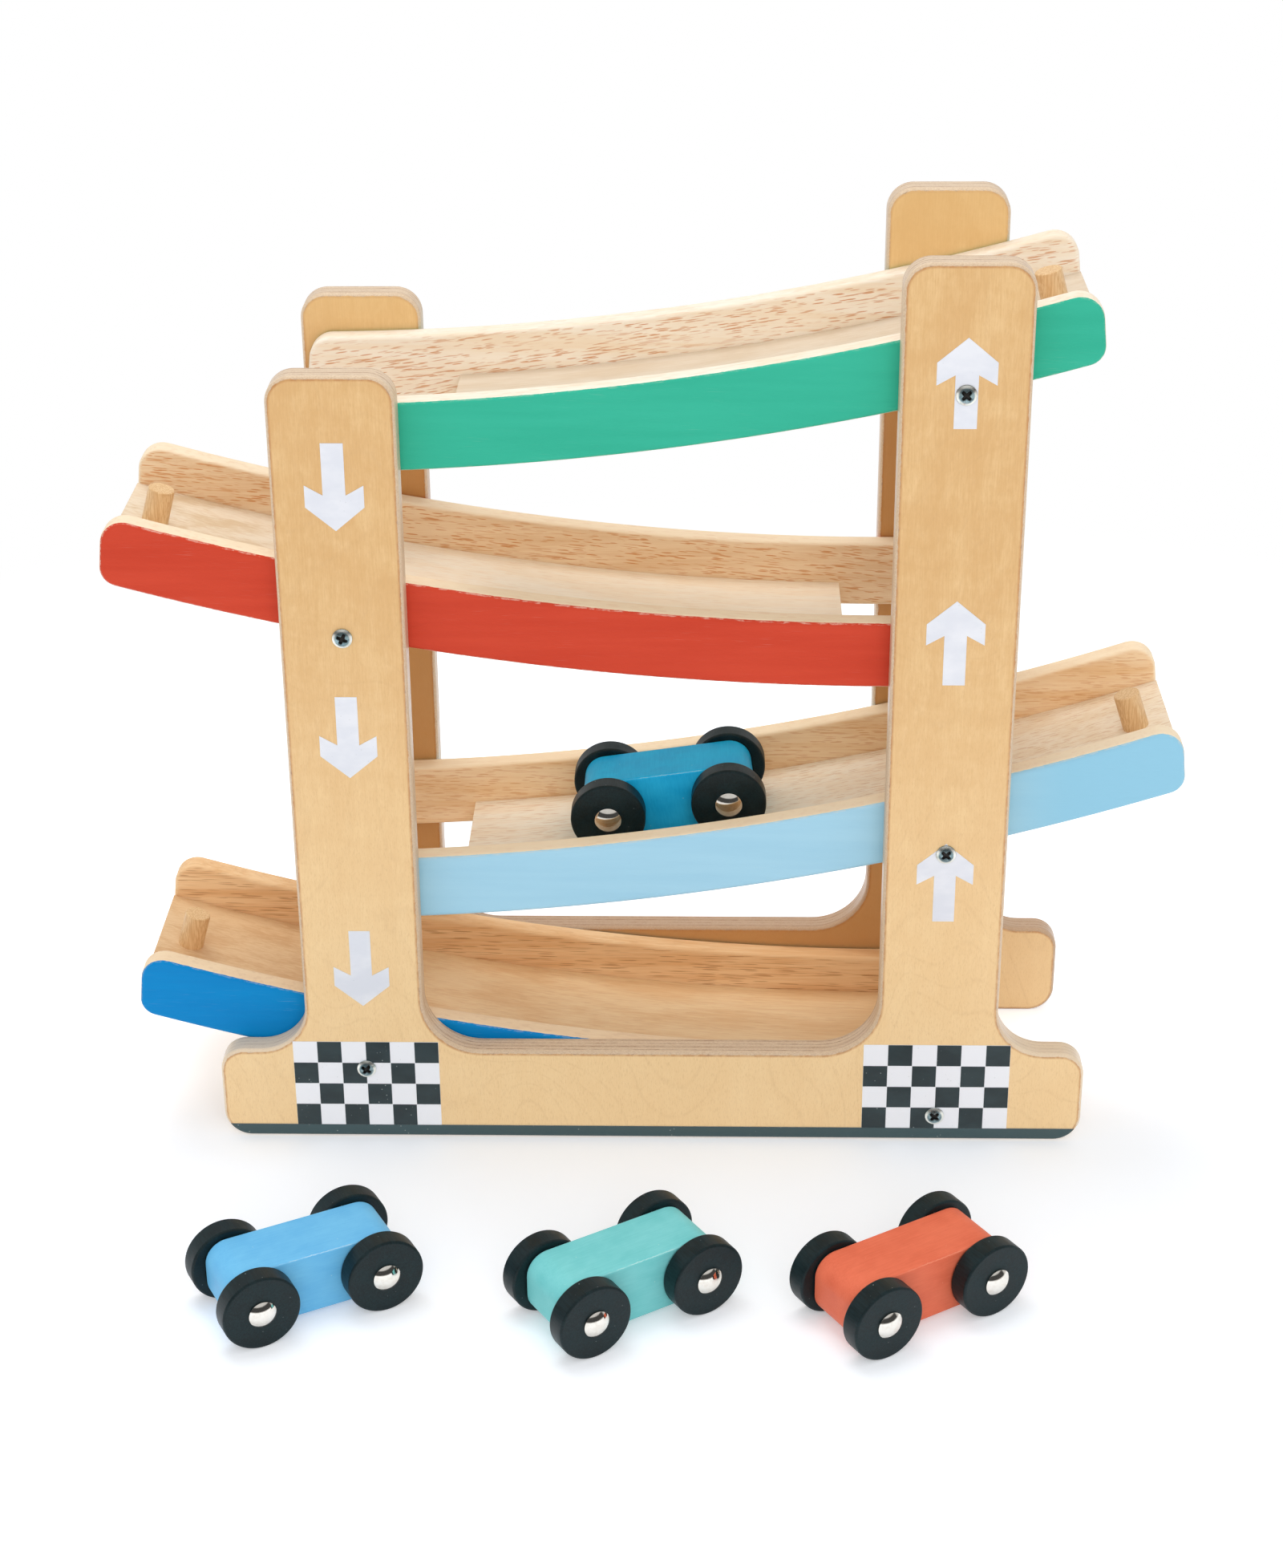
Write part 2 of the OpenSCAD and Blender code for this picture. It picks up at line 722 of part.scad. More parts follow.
at_coral_car() car_wheel(FAR_END, BACK);  // coral_car_right_back_wheel
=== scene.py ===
"""Click clack track toy: two plywood panels, four curved wooden tracks and four cars.

Sizes are in millimetres, as in the part's source, and each mesh is made in metres at the
moment it is built. X runs along the toy, Y from front to back and Z up from the table.
"""
import logging
import math
from dataclasses import dataclass
from enum import Enum
from typing import Iterable, Optional, Sequence

import bmesh
import bpy
from mathutils import Matrix, Vector

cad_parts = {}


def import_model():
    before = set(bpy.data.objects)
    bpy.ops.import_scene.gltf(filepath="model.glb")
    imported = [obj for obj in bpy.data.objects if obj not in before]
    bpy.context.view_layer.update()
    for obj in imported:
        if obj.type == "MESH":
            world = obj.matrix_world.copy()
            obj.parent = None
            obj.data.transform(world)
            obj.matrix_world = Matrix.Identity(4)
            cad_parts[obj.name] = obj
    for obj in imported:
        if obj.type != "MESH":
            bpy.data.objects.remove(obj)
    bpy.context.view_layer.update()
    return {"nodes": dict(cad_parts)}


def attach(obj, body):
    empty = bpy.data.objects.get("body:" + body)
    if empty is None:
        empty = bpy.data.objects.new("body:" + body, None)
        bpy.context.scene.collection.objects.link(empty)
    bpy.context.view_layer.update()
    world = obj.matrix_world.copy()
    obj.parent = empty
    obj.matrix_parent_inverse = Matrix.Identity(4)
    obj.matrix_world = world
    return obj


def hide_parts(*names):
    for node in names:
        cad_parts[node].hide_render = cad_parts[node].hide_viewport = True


log = logging.getLogger("click_clack_toy")

MM = 0.001
BREAK = 0.05
ROLL_GAP = 0.6
HERE = Matrix.Identity(4)
TOWER_BODY = "tower"

Point = tuple[float, float]
ProfilePoint = tuple[float, float, float, float]
Socket = bpy.types.NodeSocket
Material = bpy.types.Material
Piece = bpy.types.Object


@dataclass(frozen=True)
class Tower:
    """Sizes that the panels, the tracks, the stickers and the finishes share."""

    middle: float = 61.8
    half_gap: float = 37.6
    panel_t: float = 9.8
    upright_x: float = 94.3
    upright_w: float = 39.0
    low_inset: float = 2.8
    drop_inset: float = 13.0

    def outer(self) -> float:
        """Distance of a panel's outer face from the middle plane."""
        return self.half_gap + self.panel_t

    def upright_out(self) -> float:
        """Distance of an upright's outer edge from the middle."""
        return self.upright_x + self.upright_w / 2

    def upright_in(self) -> float:
        """Distance of an upright's inner edge from the middle."""
        return self.upright_x - self.upright_w / 2


TOWER = Tower()


class Face(Enum):
    """The side of the tower that a panel, rail or sticker faces."""

    FRONT = -1
    BACK = 1

    def word(self) -> str:
        """The side's word in the names of pieces."""
        return self.name.lower()

    def y(self, away: float) -> float:
        """Y of the plane this far from the tower's middle, on this side of it."""
        return TOWER.middle + self.value * away


class Side(Enum):
    """The side of the toy that a track's high end is on."""

    LEFT = -1
    RIGHT = 1


class End(Enum):
    """The end of a car that an axle is at, towards -X or +X in the car's own frame."""

    NEAR = -1
    FAR = 1


def srgb(*channels: float) -> tuple[float, ...]:
    """The linear colour, with full alpha, of a red, green and blue from 0 to 255."""
    shares = (value / 255 for value in channels)
    return *(s / 12.92 if s <= 0.04045 else ((s + 0.055) / 1.055) ** 2.4 for s in shares), 1.0


def down(radius: float, x: float) -> float:
    """How far a circle lies under its centre, x away from its middle."""
    return math.sqrt(radius ** 2 - x ** 2)


def ray_down(radius: float, x: float) -> Point:
    """Direction from a circle's centre to its lower point at x."""
    return x / radius, -down(1, x / radius)


def rays(count: int) -> list[Point]:
    """Directions spread evenly round a turn."""
    turns = (2 * math.pi * i / count for i in range(count))
    return [(math.cos(turn), math.sin(turn)) for turn in turns]


def in_scene(name: str, data: bpy.types.ID) -> Piece:
    """Makes an object and puts it in the scene.

    Args:
        name: Name of the object.
        data: Its mesh, camera or lamp.

    Returns:
        The object, at the origin.
    """
    thing = bpy.data.objects.new(name, data)
    bpy.context.scene.collection.objects.link(thing)
    return thing


# Outlines and meshes

@dataclass
class OutlinePoint:
    """A point of a closed outline, the direction out of it, and the way an inset moves it."""

    place: Point
    out: Point
    inset: Point


class Outline:
    """A closed outline drawn anticlockwise, made of arcs and the straights between them."""

    def __init__(self, points: Iterable[OutlinePoint] = ()) -> None:
        """Starts with the points given."""
        self.points = list(points)

    def arc(self, centre: Point, radius: float, start: float, end: float,
            steps: int = 12) -> None:
        """Adds an arc, with outward directions that point away from its centre.

        Args:
            centre: Centre of the arc.
            radius: Radius of the arc.
            start: Angle of its first point, in degrees.
            end: Angle of its last point; less than start gives a hollow arc.
            steps: Number of pieces the arc is divided into.
        """
        sign = 1.0 if end >= start else -1.0
        for i in range(steps + 1):
            angle = math.radians(start + (end - start) * i / steps)
            x, z = math.cos(angle), math.sin(angle)
            self.smooth((centre[0] + radius * x, centre[1] + radius * z), (sign * x, sign * z))

    def smooth(self, place: Point, out: Point) -> None:
        """Adds one point of a smooth stretch."""
        self.points.append(OutlinePoint(place, out, (-out[0], -out[1])))

    def corner(self, place: Point, before: Point, after: Point) -> None:
        """Adds a sharp corner as two near points.

        Args:
            place: Place of the corner.
            before: Direction out of the edge that comes before it.
            after: Direction out of the edge that comes after it.
        """
        share = 1 + before[0] * after[0] + before[1] * after[1]
        inset = (-(before[0] + after[0]) / share, -(before[1] + after[1]) / share)
        for out, step in ((before, -BREAK), (after, BREAK)):
            near = (place[0] - out[1] * step, place[1] + out[0] * step)
            self.points.append(OutlinePoint(near, out, inset))

    def mirrored(self) -> "Outline":
        """The same outline turned left to right, still anticlockwise."""
        return Outline(OutlinePoint(*((-x, z) for x, z in (p.place, p.out, p.inset)))
                       for p in reversed(self.points))

    def moved(self, dx: float, dz: float) -> "Outline":
        """The same outline shifted by dx and dz."""
        return Outline(OutlinePoint((p.place[0] + dx, p.place[1] + dz), p.out, p.inset)
                       for p in self.points)


class MeshMaker:
    """Collects vertices, normals and faces in millimetres, and turns them into an object."""

    def __init__(self) -> None:
        """Starts an empty mesh."""
        self.places: list[Vector] = []
        self.normals: list[Vector] = []
        self.rims: list[float] = []
        self.faces: list[tuple[int, ...]] = []

    def vertex(self, place: Sequence[float], normal: Sequence[float], rim: float = 0.0) -> int:
        """Adds a vertex.

        Args:
            place: Place in millimetres.
            normal: Shading normal.
            rim: Distance from the piece's rim, in millimetres, for its material.

        Returns:
            The number of the new vertex.
        """
        self.places.append(Vector(place))
        self.normals.append(Vector(normal))
        self.rims.append(rim)
        return len(self.places) - 1

    def bridge(self, first: Sequence[int], second: Sequence[int]) -> None:
        """Joins two closed rings with quads, or a ring and a point with triangles.

        Args:
            first: Numbers of the first ring's vertices.
            second: Numbers of the second ring's vertices.
        """
        count = max(len(first), len(second))
        for i in range(count):
            j = (i + 1) % count
            corners = (first[i % len(first)], first[j % len(first)],
                       second[j % len(second)], second[i % len(second)])
            self.faces.append(tuple(dict.fromkeys(corners)))

    def add(self, other: "MeshMaker", place: Matrix = HERE) -> None:
        """Adds another mesh to this one, with its faces turned over where it is mirrored.

        Args:
            other: The mesh to add.
            place: Where it goes, as a matrix in millimetres.
        """
        turn, first = place.to_3x3(), len(self.places)
        step = -1 if turn.determinant() < 0 else 1
        self.places += [place @ p for p in other.places]
        self.normals += [(turn @ n).normalized() for n in other.normals]
        self.rims += other.rims
        self.faces += [tuple(first + i for i in f[::step]) for f in other.faces]

    def build(self, name: str, material: Material, place: Matrix = HERE) -> Piece:
        """Makes the object.

        Args:
            name: Name of the object and its mesh.
            material: Its finish.
            place: Where it goes, as a matrix in millimetres.

        Returns:
            The new object, at the origin, with its place in its mesh.
        """
        whole = MeshMaker()
        whole.add(self, place)
        mesh = bpy.data.meshes.new(name)
        mesh.from_pydata([p * MM for p in whole.places], [], whole.faces)
        mesh.attributes.new("rim", "FLOAT", "POINT").data.foreach_set("value", whole.rims)
        mesh.polygons.foreach_set("use_smooth", [True] * len(mesh.polygons))
        mesh.normals_split_custom_set_from_vertices(whole.normals)
        mesh.materials.append(material)
        mesh.validate()
        return in_scene(name, mesh)


def plate(outline: Outline, y_front: float, y_back: float, edge: float,
          border: float = 3.0, steps: int = 5) -> MeshMaker:
    """A flat plate that stands in the XZ plane, with its edges rounded all round.

    Args:
        outline: The plate's outline, x to the right and z up.
        y_front: Y of the front face.
        y_back: Y of the back face.
        edge: Radius of the rounding.
        border: Width of the flat ring inside the rounding, which carries the rim distance.
        steps: Pieces that the rounding is divided into.

    Returns:
        The mesh.
    """
    made = MeshMaker()
    levels = [(edge + border, y_front, 0.0, -1.0)]
    for i in range(steps + 1):
        angle = math.pi / 2 * (1 - i / steps)
        wall, face = math.cos(angle), math.sin(angle)
        levels.append((edge * (1 - wall), y_front + edge * (1 - face), wall, -face))
    levels += [(inset, y_front + y_back - y, wall, -face)
               for inset, y, wall, face in reversed(levels)]
    rings = [[made.vertex((p.place[0] + p.inset[0] * inset, y, p.place[1] + p.inset[1] * inset),
                          (p.out[0] * wall, face, p.out[1] * wall), inset)
              for p in outline.points]
             for inset, y, wall, face in levels]
    for ring, following in zip(rings, rings[1:]):
        made.bridge(following, ring)
    made.faces += [tuple(rings[0]), tuple(reversed(rings[-1]))]
    return made


def lathe(profile: Sequence[ProfilePoint], segments: int = 64) -> MeshMaker:
    """A round piece turned about its own Z axis.

    Args:
        profile: Points (radius, height, normal outward, normal upward), from the middle
            of the bottom to the middle of the top, or round a closed ring.
        segments: Pieces that a turn is divided into.

    Returns:
        The mesh.
    """
    made = MeshMaker()
    rings = [[made.vertex((radius * x, radius * y, height), (out * x, out * y, up))
              for x, y in (rays(segments) if radius > 0 else [(0.0, 0.0)])]
             for radius, height, out, up in profile]
    pairs = list(zip(rings, rings[1:]))
    if len(rings[0]) > 1:
        pairs.append((rings[-1], rings[0]))
    for low, high in pairs:
        made.bridge(low, high)
    return made


def rounded(radius: float, height: float, edge: float, steps: int = 4,
            up: int = 1) -> list[ProfilePoint]:
    """Profile points of a rounded rim.

    Args:
        radius: Outer radius of the piece.
        height: Height of the face that the rim leads to.
        edge: Radius of the rounding.
        steps: Pieces that it is divided into.
        up: 1 for an upper rim, -1 for a lower one.

    Returns:
        The points, in the order from bottom to top.
    """
    points = []
    for i in range(steps + 1):
        angle = math.pi / 2 * i / steps
        out, rise = math.cos(angle), math.sin(angle)
        points.append((radius - edge + edge * out, height - up * edge * (1 - rise), out, up * rise))
    return points[::up]


# Node trees

class Nodes:
    """A node tree, with a short method for each kind of node that several trees use."""

    def __init__(self, tree: bpy.types.NodeTree) -> None:
        """Takes the tree that the nodes go into."""
        self.tree = tree

    def feed(self, value: object, target: Socket) -> None:
        """Links a socket to a target, or sets the target to a constant."""
        if isinstance(value, Socket):
            self.tree.links.new(value, target)
        else:
            target.default_value = value

    def node(self, kind: str, **inputs: object) -> bpy.types.Node:
        """Adds a node and feeds its inputs.

        Args:
            kind: Type of the node.
            inputs: Input names, with underscores for spaces, and sockets or constants.

        Returns:
            The node.
        """
        made = self.tree.nodes.new(kind)
        for name, value in inputs.items():
            self.feed(value, made.inputs[name.replace("_", " ")])
        return made

    def maths(self, operation: str, *values: object) -> Socket:
        """One Math node.

        Args:
            operation: Its operation.
            values: Sockets or numbers.

        Returns:
            The result.
        """
        made = self.tree.nodes.new("ShaderNodeMath")
        made.operation = operation
        for value, target in zip(values, made.inputs):
            self.feed(value, target)
        return made.outputs[0]

    def times(self, first: object, *others: object) -> Socket:
        """The product of sockets and numbers."""
        for other in others:
            first = self.maths("MULTIPLY", first, other)
        return first

    def plus(self, first: object, *others: object) -> Socket:
        """The sum of sockets and numbers."""
        for other in others:
            first = self.maths("ADD", first, other)
        return first

    def minus(self, first: object, second: object) -> Socket:
        """The difference of two sockets or numbers."""
        return self.maths("SUBTRACT", first, second)

    def remap(self, value: Socket, low: float, high: float, to_low: float = 0.0,
              to_high: float = 1.0) -> Socket:
        """Takes values from low to high smoothly to the range to_low to to_high.

        Args:
            value: The values.
            low: Where the values' range starts.
            high: Where the values' range ends.
            to_low: What low becomes.
            to_high: What high becomes.

        Returns:
            The new values, which stay within their range.
        """
        made = self.node("ShaderNodeMapRange", Value=value, From_Min=low, From_Max=high,
                         To_Min=to_low, To_Max=to_high)
        made.interpolation_type = "SMOOTHSTEP"
        return made.outputs["Result"]


@dataclass(frozen=True)
class Grain:
    """A noise or cell pattern: the size of its features, their character and their turn."""

    size: Sequence[float]
    detail: float = 2.0
    rough: float = 0.5
    bent: float = 0.0
    turn: Sequence[float] = (0.0, 0.0, 0.0)


class NodeSheet(Nodes):
    """A material's node tree, with its coordinates in millimetres and its rim distance."""

    def __init__(self, name: str) -> None:
        """Makes the material and finds its shader.

        Args:
            name: Name of the material.
        """
        self.material = bpy.data.materials.new(name)
        self.material.use_nodes = True
        super().__init__(self.material.node_tree)
        self.shader = self.tree.nodes["Principled BSDF"]
        self.coords = self.node("ShaderNodeTexCoord").outputs["Object"]
        self.place = self.counted(Grain((1, 1, 1)))
        self.x, self.y, self.z = self.node("ShaderNodeSeparateXYZ", Vector=self.place).outputs
        attribute = self.node("ShaderNodeAttribute")
        attribute.attribute_name = "rim"
        self.rim = attribute.outputs["Fac"]

    def framed(self, source: Socket, **inputs: Sequence[float]) -> Socket:
        """Coordinates in a frame of their own.

        Args:
            source: The coordinates.
            inputs: Location, Rotation and Scale of the frame.

        Returns:
            The coordinates as the frame sees them.
        """
        made = self.node("ShaderNodeMapping", Vector=source, **inputs)
        made.vector_type = "TEXTURE"
        return made.outputs["Vector"]

    def counted(self, grain: Grain, source: Optional[Socket] = None) -> Socket:
        """Coordinates counted in the features of a pattern."""
        return self.framed(self.coords if source is None else source, Rotation=grain.turn,
                           Scale=[length * MM for length in grain.size])

    def noise(self, grain: Grain, source: Optional[Socket] = None) -> Socket:
        """Noise with values round 0.5."""
        return self.node("ShaderNodeTexNoise", Vector=self.counted(grain, source), Scale=1.0,
                         Detail=grain.detail, Roughness=grain.rough,
                         Distortion=grain.bent).outputs["Fac"]

    def cells(self, grain: Grain, source: Optional[Socket] = None) -> Socket:
        """Distance from the nearest of one random point per feature."""
        return self.node("ShaderNodeTexVoronoi", Vector=self.counted(grain, source),
                         Scale=1.0).outputs["Distance"]

    def weighed(self, *layers: tuple[Socket, float]) -> Socket:
        """The sum of layers, each times its share."""
        return self.plus(*(self.times(layer, share) for layer, share in layers))

    def swing(self, noise: Socket, span: float) -> Socket:
        """Noise about zero that reaches half the span either way."""
        return self.times(self.minus(noise, 0.5), span)

    def blend(self, share: object, first: object, second: object) -> Socket:
        """Mixes two colours.

        Args:
            share: Share of the second colour.
            first: The first colour.
            second: The second colour.

        Returns:
            The mixed colour.
        """
        made = self.tree.nodes.new("ShaderNodeMix")
        made.data_type = "RGBA"
        for value, target in ((share, 0), (first, 6), (second, 7)):
            self.feed(value, made.inputs[target])
        return made.outputs[2]

    def depth(self) -> Socket:
        """Distance outwards from the panels' inner faces, on both sides of the tower."""
        away = self.maths("ABSOLUTE", self.minus(self.y, TOWER.middle))
        return self.minus(away, TOWER.half_gap)

    def relief(self, height: Socket, strength: float, deep: float, **under: Socket) -> Socket:
        """A bump normal, this deep in millimetres, over another Normal if one is given."""
        return self.node("ShaderNodeBump", Height=height, Strength=strength,
                         Distance=deep * MM, **under).outputs["Normal"]

    def finish(self, colour: object, roughness: object, **others: object) -> Material:
        """Sets the shader's inputs, named with underscores for spaces.

        Args:
            colour: Base colour.
            roughness: Roughness.
            others: Other inputs.

        Returns:
            The material.
        """
        for name, value in {"Base_Color": colour, "Roughness": roughness, **others}.items():
            self.feed(value, self.shader.inputs[name.replace("_", " ")])
        return self.material


# Finishes

@dataclass(frozen=True)
class BirchPly:
    """Lacquered birch plywood: golden face veneers and pale layered edges."""

    name: str = "birch_ply_lacquered"
    plies: int = 5
    rings: int = 15
    light: tuple = srgb(238, 200, 143)
    dark: tuple = srgb(222, 176, 115)
    # Paler veneer towards the foot: painted light from the bright table below.
    light_foot_painted_light: tuple = srgb(252, 219, 167)
    dark_foot_painted_light: tuple = srgb(247, 211, 157)
    # Darker orange on the panels' inner faces under the tracks: painted shade.
    inner: tuple = srgb(190, 128, 60)
    fleck: tuple = srgb(206, 160, 106)
    knot: tuple = srgb(120, 74, 40)
    halo: tuple = srgb(188, 124, 70)
    # Gold on the back panel's upper inner face: painted light.
    painted_light_gold: tuple = srgb(252, 214, 148)
    edge_light: tuple = srgb(234, 212, 183)
    edge_dark: tuple = srgb(202, 170, 136)
    # Darker lower edges of the back panel: painted shade.
    edge_aged: tuple = srgb(160, 118, 84)
    # Paler top edges of the front panel's feet: painted light.
    edge_painted_light: tuple = srgb(255, 236, 206)
    glue: tuple = srgb(158, 110, 78)
    # Heights over which the veneer turns to the paler foot colours, which are painted light.
    foot_painted_light_z: Point = (30, 220)
    # Height and span of that painted shade on the inner faces.
    inner_painted_shade_z: Point = (235, 260)
    inner_painted_shade_x: Point = (108, 120)
    # Height where that painted light starts.
    painted_light_gold_z: Point = (240, 265)
    # Height of that painted shade on the back panel's edges.
    aged_z: Point = (50, 80)
    # Height, span and side of that painted light on the front feet.
    pale_z: Point = (40, 70)
    pale_x: Point = (112, 122)
    front_y: Point = (30, 40)
    back_y: Point = (80, 90)
    cloud: Grain = Grain((17, 40, 24), 4, 0.62, 0.8)
    mottle: Grain = Grain((1.6, 20, 2.6), 3, 0.6)
    flecks: Grain = Grain((0.26, 20, 1.5), 2, 0.6)
    swell: Grain = Grain((48, 60, 75), 1, 0.3, 0.3)
    knots: Grain = Grain((37, 60, 43))
    waver: Grain = Grain((2.2, 1.2, 2.2), 3, 0.6)
    faint: Grain = Grain((11, 2.5, 11))
    end_grain: Grain = Grain((0.6, 0.25, 0.6), 3, 0.7)
    layers: tuple = ((Grain((0.42, 20, 7), 2, 0.6), 0.20), (cloud, 0.28),
                     (Grain((3.5, 40, 90)), 0.12),
                     (Grain((30, 40, 4.5), turn=(0, 0.12, 0)), 0.10), (mottle, 0.12),
                     (Grain((9, 40, 46), 2, 0.5, 1.2, (0, 0.5, 0)), 0.10))

    def veneer(self, sheet: NodeSheet, across: Socket) -> Socket:
        """Colour of the face veneers, with painted light and painted shade on them.

        Args:
            sheet: The material's nodes.
            across: Distance from the toy's middle along X.

        Returns:
            The colour.
        """
        mottle = sheet.noise(self.mottle)
        tone = sheet.weighed(*((sheet.noise(layer), share) for layer, share in self.layers))
        light_share = sheet.remap(tone, 0.37, 0.63)
        # The face turns paler towards the foot: painted light from the table.
        face = sheet.blend(sheet.remap(sheet.z, *self.foot_painted_light_z, 1, 0),
                           sheet.blend(light_share, self.dark, self.light),
                           sheet.blend(light_share, self.dark_foot_painted_light, self.light_foot_painted_light))
        ring = sheet.maths("PINGPONG", sheet.times(sheet.noise(self.swell), self.rings), 0.5)
        inside = sheet.remap(sheet.depth(), 0.2, 0.6, 1, 0)
        for share, colour in (
                (sheet.remap(sheet.noise(self.flecks), 0.50, 0.72, 0, 0.24), self.fleck),
                (sheet.times(sheet.remap(ring, 0.0, 0.12, 0.14, 0),
                             sheet.remap(mottle, 0.40, 0.60, 0.2, 1.0)), self.fleck),
                (sheet.remap(sheet.cells(self.knots), 0.006, 0.014, 0.6, 0), self.knot),
                (sheet.times(sheet.remap(sheet.rim, 1.0, 1.8, 1, 0),
                             sheet.remap(mottle, 0.40, 0.60, 0.45, 0.75)), self.halo),
                # Painted shade on the inner faces under the tracks.
                (sheet.times(inside, 0.75, sheet.remap(sheet.z, *self.inner_painted_shade_z, 1, 0),
                             sheet.remap(across, *self.inner_painted_shade_x, 1, 0)), self.inner),
                # Painted light on the back panel's upper inner face.
                (sheet.times(inside, sheet.remap(sheet.y, *self.back_y, 0, 0.45),
                             sheet.remap(sheet.z, *self.painted_light_gold_z)), self.painted_light_gold)):
            face = sheet.blend(share, face, colour)
        return face

    def edges(self, sheet: NodeSheet, across: Socket, waver: Socket) -> Socket:
        """Colour of the layered edges, with painted shade and painted light on them.

        Args:
            sheet: The material's nodes.
            across: Distance from the toy's middle along X.
            waver: Noise that makes the layers uneven.

        Returns:
            The colour.
        """
        layers = sheet.times(sheet.depth(), self.plies / TOWER.panel_t)
        within = sheet.maths("FRACT", layers)
        from_line = sheet.maths("MINIMUM", within, sheet.minus(1.0, within))
        odd = sheet.maths("PINGPONG", layers, 1.0)
        edge = sheet.blend(
            sheet.plus(sheet.remap(sheet.noise(self.end_grain), 0.35, 0.7, 0, 0.6),
                       sheet.remap(odd, 0.2, 0.8, 0, 0.25)), self.edge_light, self.edge_dark)
        line = sheet.remap(sheet.plus(from_line, sheet.swing(waver, 0.34)), 0.0, 0.16, 0.75, 0)
        for share, colour in (
                (sheet.times(line, sheet.remap(sheet.noise(self.faint), 0.34, 0.56, 0.35, 1.0)),
                 self.glue),
                # Painted shade on the back panel's lower edges.
                (sheet.times(sheet.remap(sheet.y, *self.back_y, 0, 0.5),
                             sheet.remap(sheet.z, *self.aged_z, 1, 0)), self.edge_aged),
                # Painted light on the front panel's foot edges.
                (sheet.times(sheet.remap(sheet.y, *self.front_y, 0.5, 0),
                             sheet.remap(sheet.z, *self.pale_z, 1, 0),
                             sheet.remap(across, *self.pale_x)), self.edge_painted_light)):
            edge = sheet.blend(share, edge, colour)
        return edge

    def make(self) -> Material:
        """Builds the material."""
        sheet = NodeSheet(self.name)
        across = sheet.maths("ABSOLUTE", sheet.x)
        waver = sheet.noise(self.waver)
        on_edge = sheet.remap(sheet.plus(sheet.rim, sheet.swing(waver, 0.9)), 0.75, 1.05, 1, 0)
        colour = sheet.blend(on_edge, self.veneer(sheet, across), self.edges(sheet, across, waver))
        height = sheet.weighed((sheet.noise(self.mottle), 1.0), (sheet.noise(self.flecks), 0.6))
        rough = sheet.remap(sheet.noise(self.cloud), 0.3, 0.7, 0.40, 0.50)
        return sheet.finish(colour, rough, Normal=sheet.relief(height, 0.14, 0.08),
                            Coat_Weight=0.2, Coat_Roughness=0.25)


@dataclass(frozen=True)
class Rubberwood:
    """Bare sanded rubberwood, pale with short brown pores along the grain."""

    light: tuple
    dark: tuple
    shift: float
    pore: tuple = srgb(208, 134, 70)
    pores: float = 0.8
    needle: tuple = (7.0, 2.4, 0.7)
    dash: tuple = (6.0, 2.2, 0.48)
    tilt: float = 0.0
    # Shares, front and back, by which the rim faces, such as the rails' top edges, are painted
    # lighter: painted light from above.
    rim_light_shares: Point = (0.0, 0.0)
    side_y: Point = (50, 70)
    rim_painted_light: tuple = srgb(255, 241, 214)
    side_pores: float = 0.15
    # Start, end and colour of a board that is darker towards one end.
    aged: Optional[tuple] = None
    name: str = "rubberwood_bare"
    band: Grain = Grain((70, 9, 5), 3, 0.55, 0.4)
    line: Grain = Grain((24, 0.9, 0.9), 3, 0.6)
    cluster: Grain = Grain((34, 6, 5))
    uneven: Grain = Grain((7, 1.5, 1.2), 1)

    def colour(self, sheet: NodeSheet) -> tuple[Socket, Socket]:
        """The wood's colour and its height, along X.

        Args:
            sheet: The material's nodes.

        Returns:
            The colour and the height.
        """
        own = sheet.framed(sheet.coords, Location=(self.shift * MM, 0, 0))
        band, line, cluster, uneven = (
            sheet.noise(grain, own) for grain in (self.band, self.line, self.cluster, self.uneven))
        tilt = (0, self.tilt, 0)
        needle = sheet.cells(Grain(self.needle, turn=tilt), own)
        dash = sheet.noise(Grain(self.dash, 1, 0.45, turn=tilt), own)
        reach = sheet.weighed((needle, 1.0), (uneven, 0.30))
        mask = sheet.times(sheet.maths("MAXIMUM", sheet.remap(reach, 0.36, 0.46, 1, 0),
                                       sheet.remap(dash, 0.58, 0.68, 0, 0.8)),
                           sheet.remap(cluster, 0.30, 0.50, 0.35, 1.0),
                           sheet.remap(sheet.rim, 0.3, 1.6, self.side_pores, 1.0))
        tone = sheet.weighed((band, 0.6), (line, 0.4))
        wood = sheet.blend(sheet.remap(tone, 0.36, 0.64), self.dark, self.light)
        # Darker towards the end, between start and end.
        if self.aged:
            start, end, end_colour = self.aged
            end_wood = sheet.blend(sheet.remap(tone, 0.38, 0.60, 0, 0.5), end_colour, self.light)
            wood = sheet.blend(sheet.remap(sheet.x, start, end, 1, 0), wood, end_wood)
        # Painted light: the rim faces paler, by their share front and back.
        painted_rim_light = sheet.times(sheet.remap(sheet.rim, 0.2, 1.0, 1, 0),
                            sheet.remap(sheet.y, *self.side_y, *self.rim_light_shares))
        wood = sheet.blend(painted_rim_light, wood, self.rim_painted_light)
        wood = sheet.blend(sheet.times(mask, self.pores), wood, self.pore)
        return wood, sheet.minus(sheet.times(line, 0.4), mask)

    def make(self) -> Material:
        """Builds the material."""
        sheet = NodeSheet(self.name)
        wood, height = self.colour(sheet)
        return sheet.finish(wood, 0.55, Normal=sheet.relief(height, 0.2, 0.08))


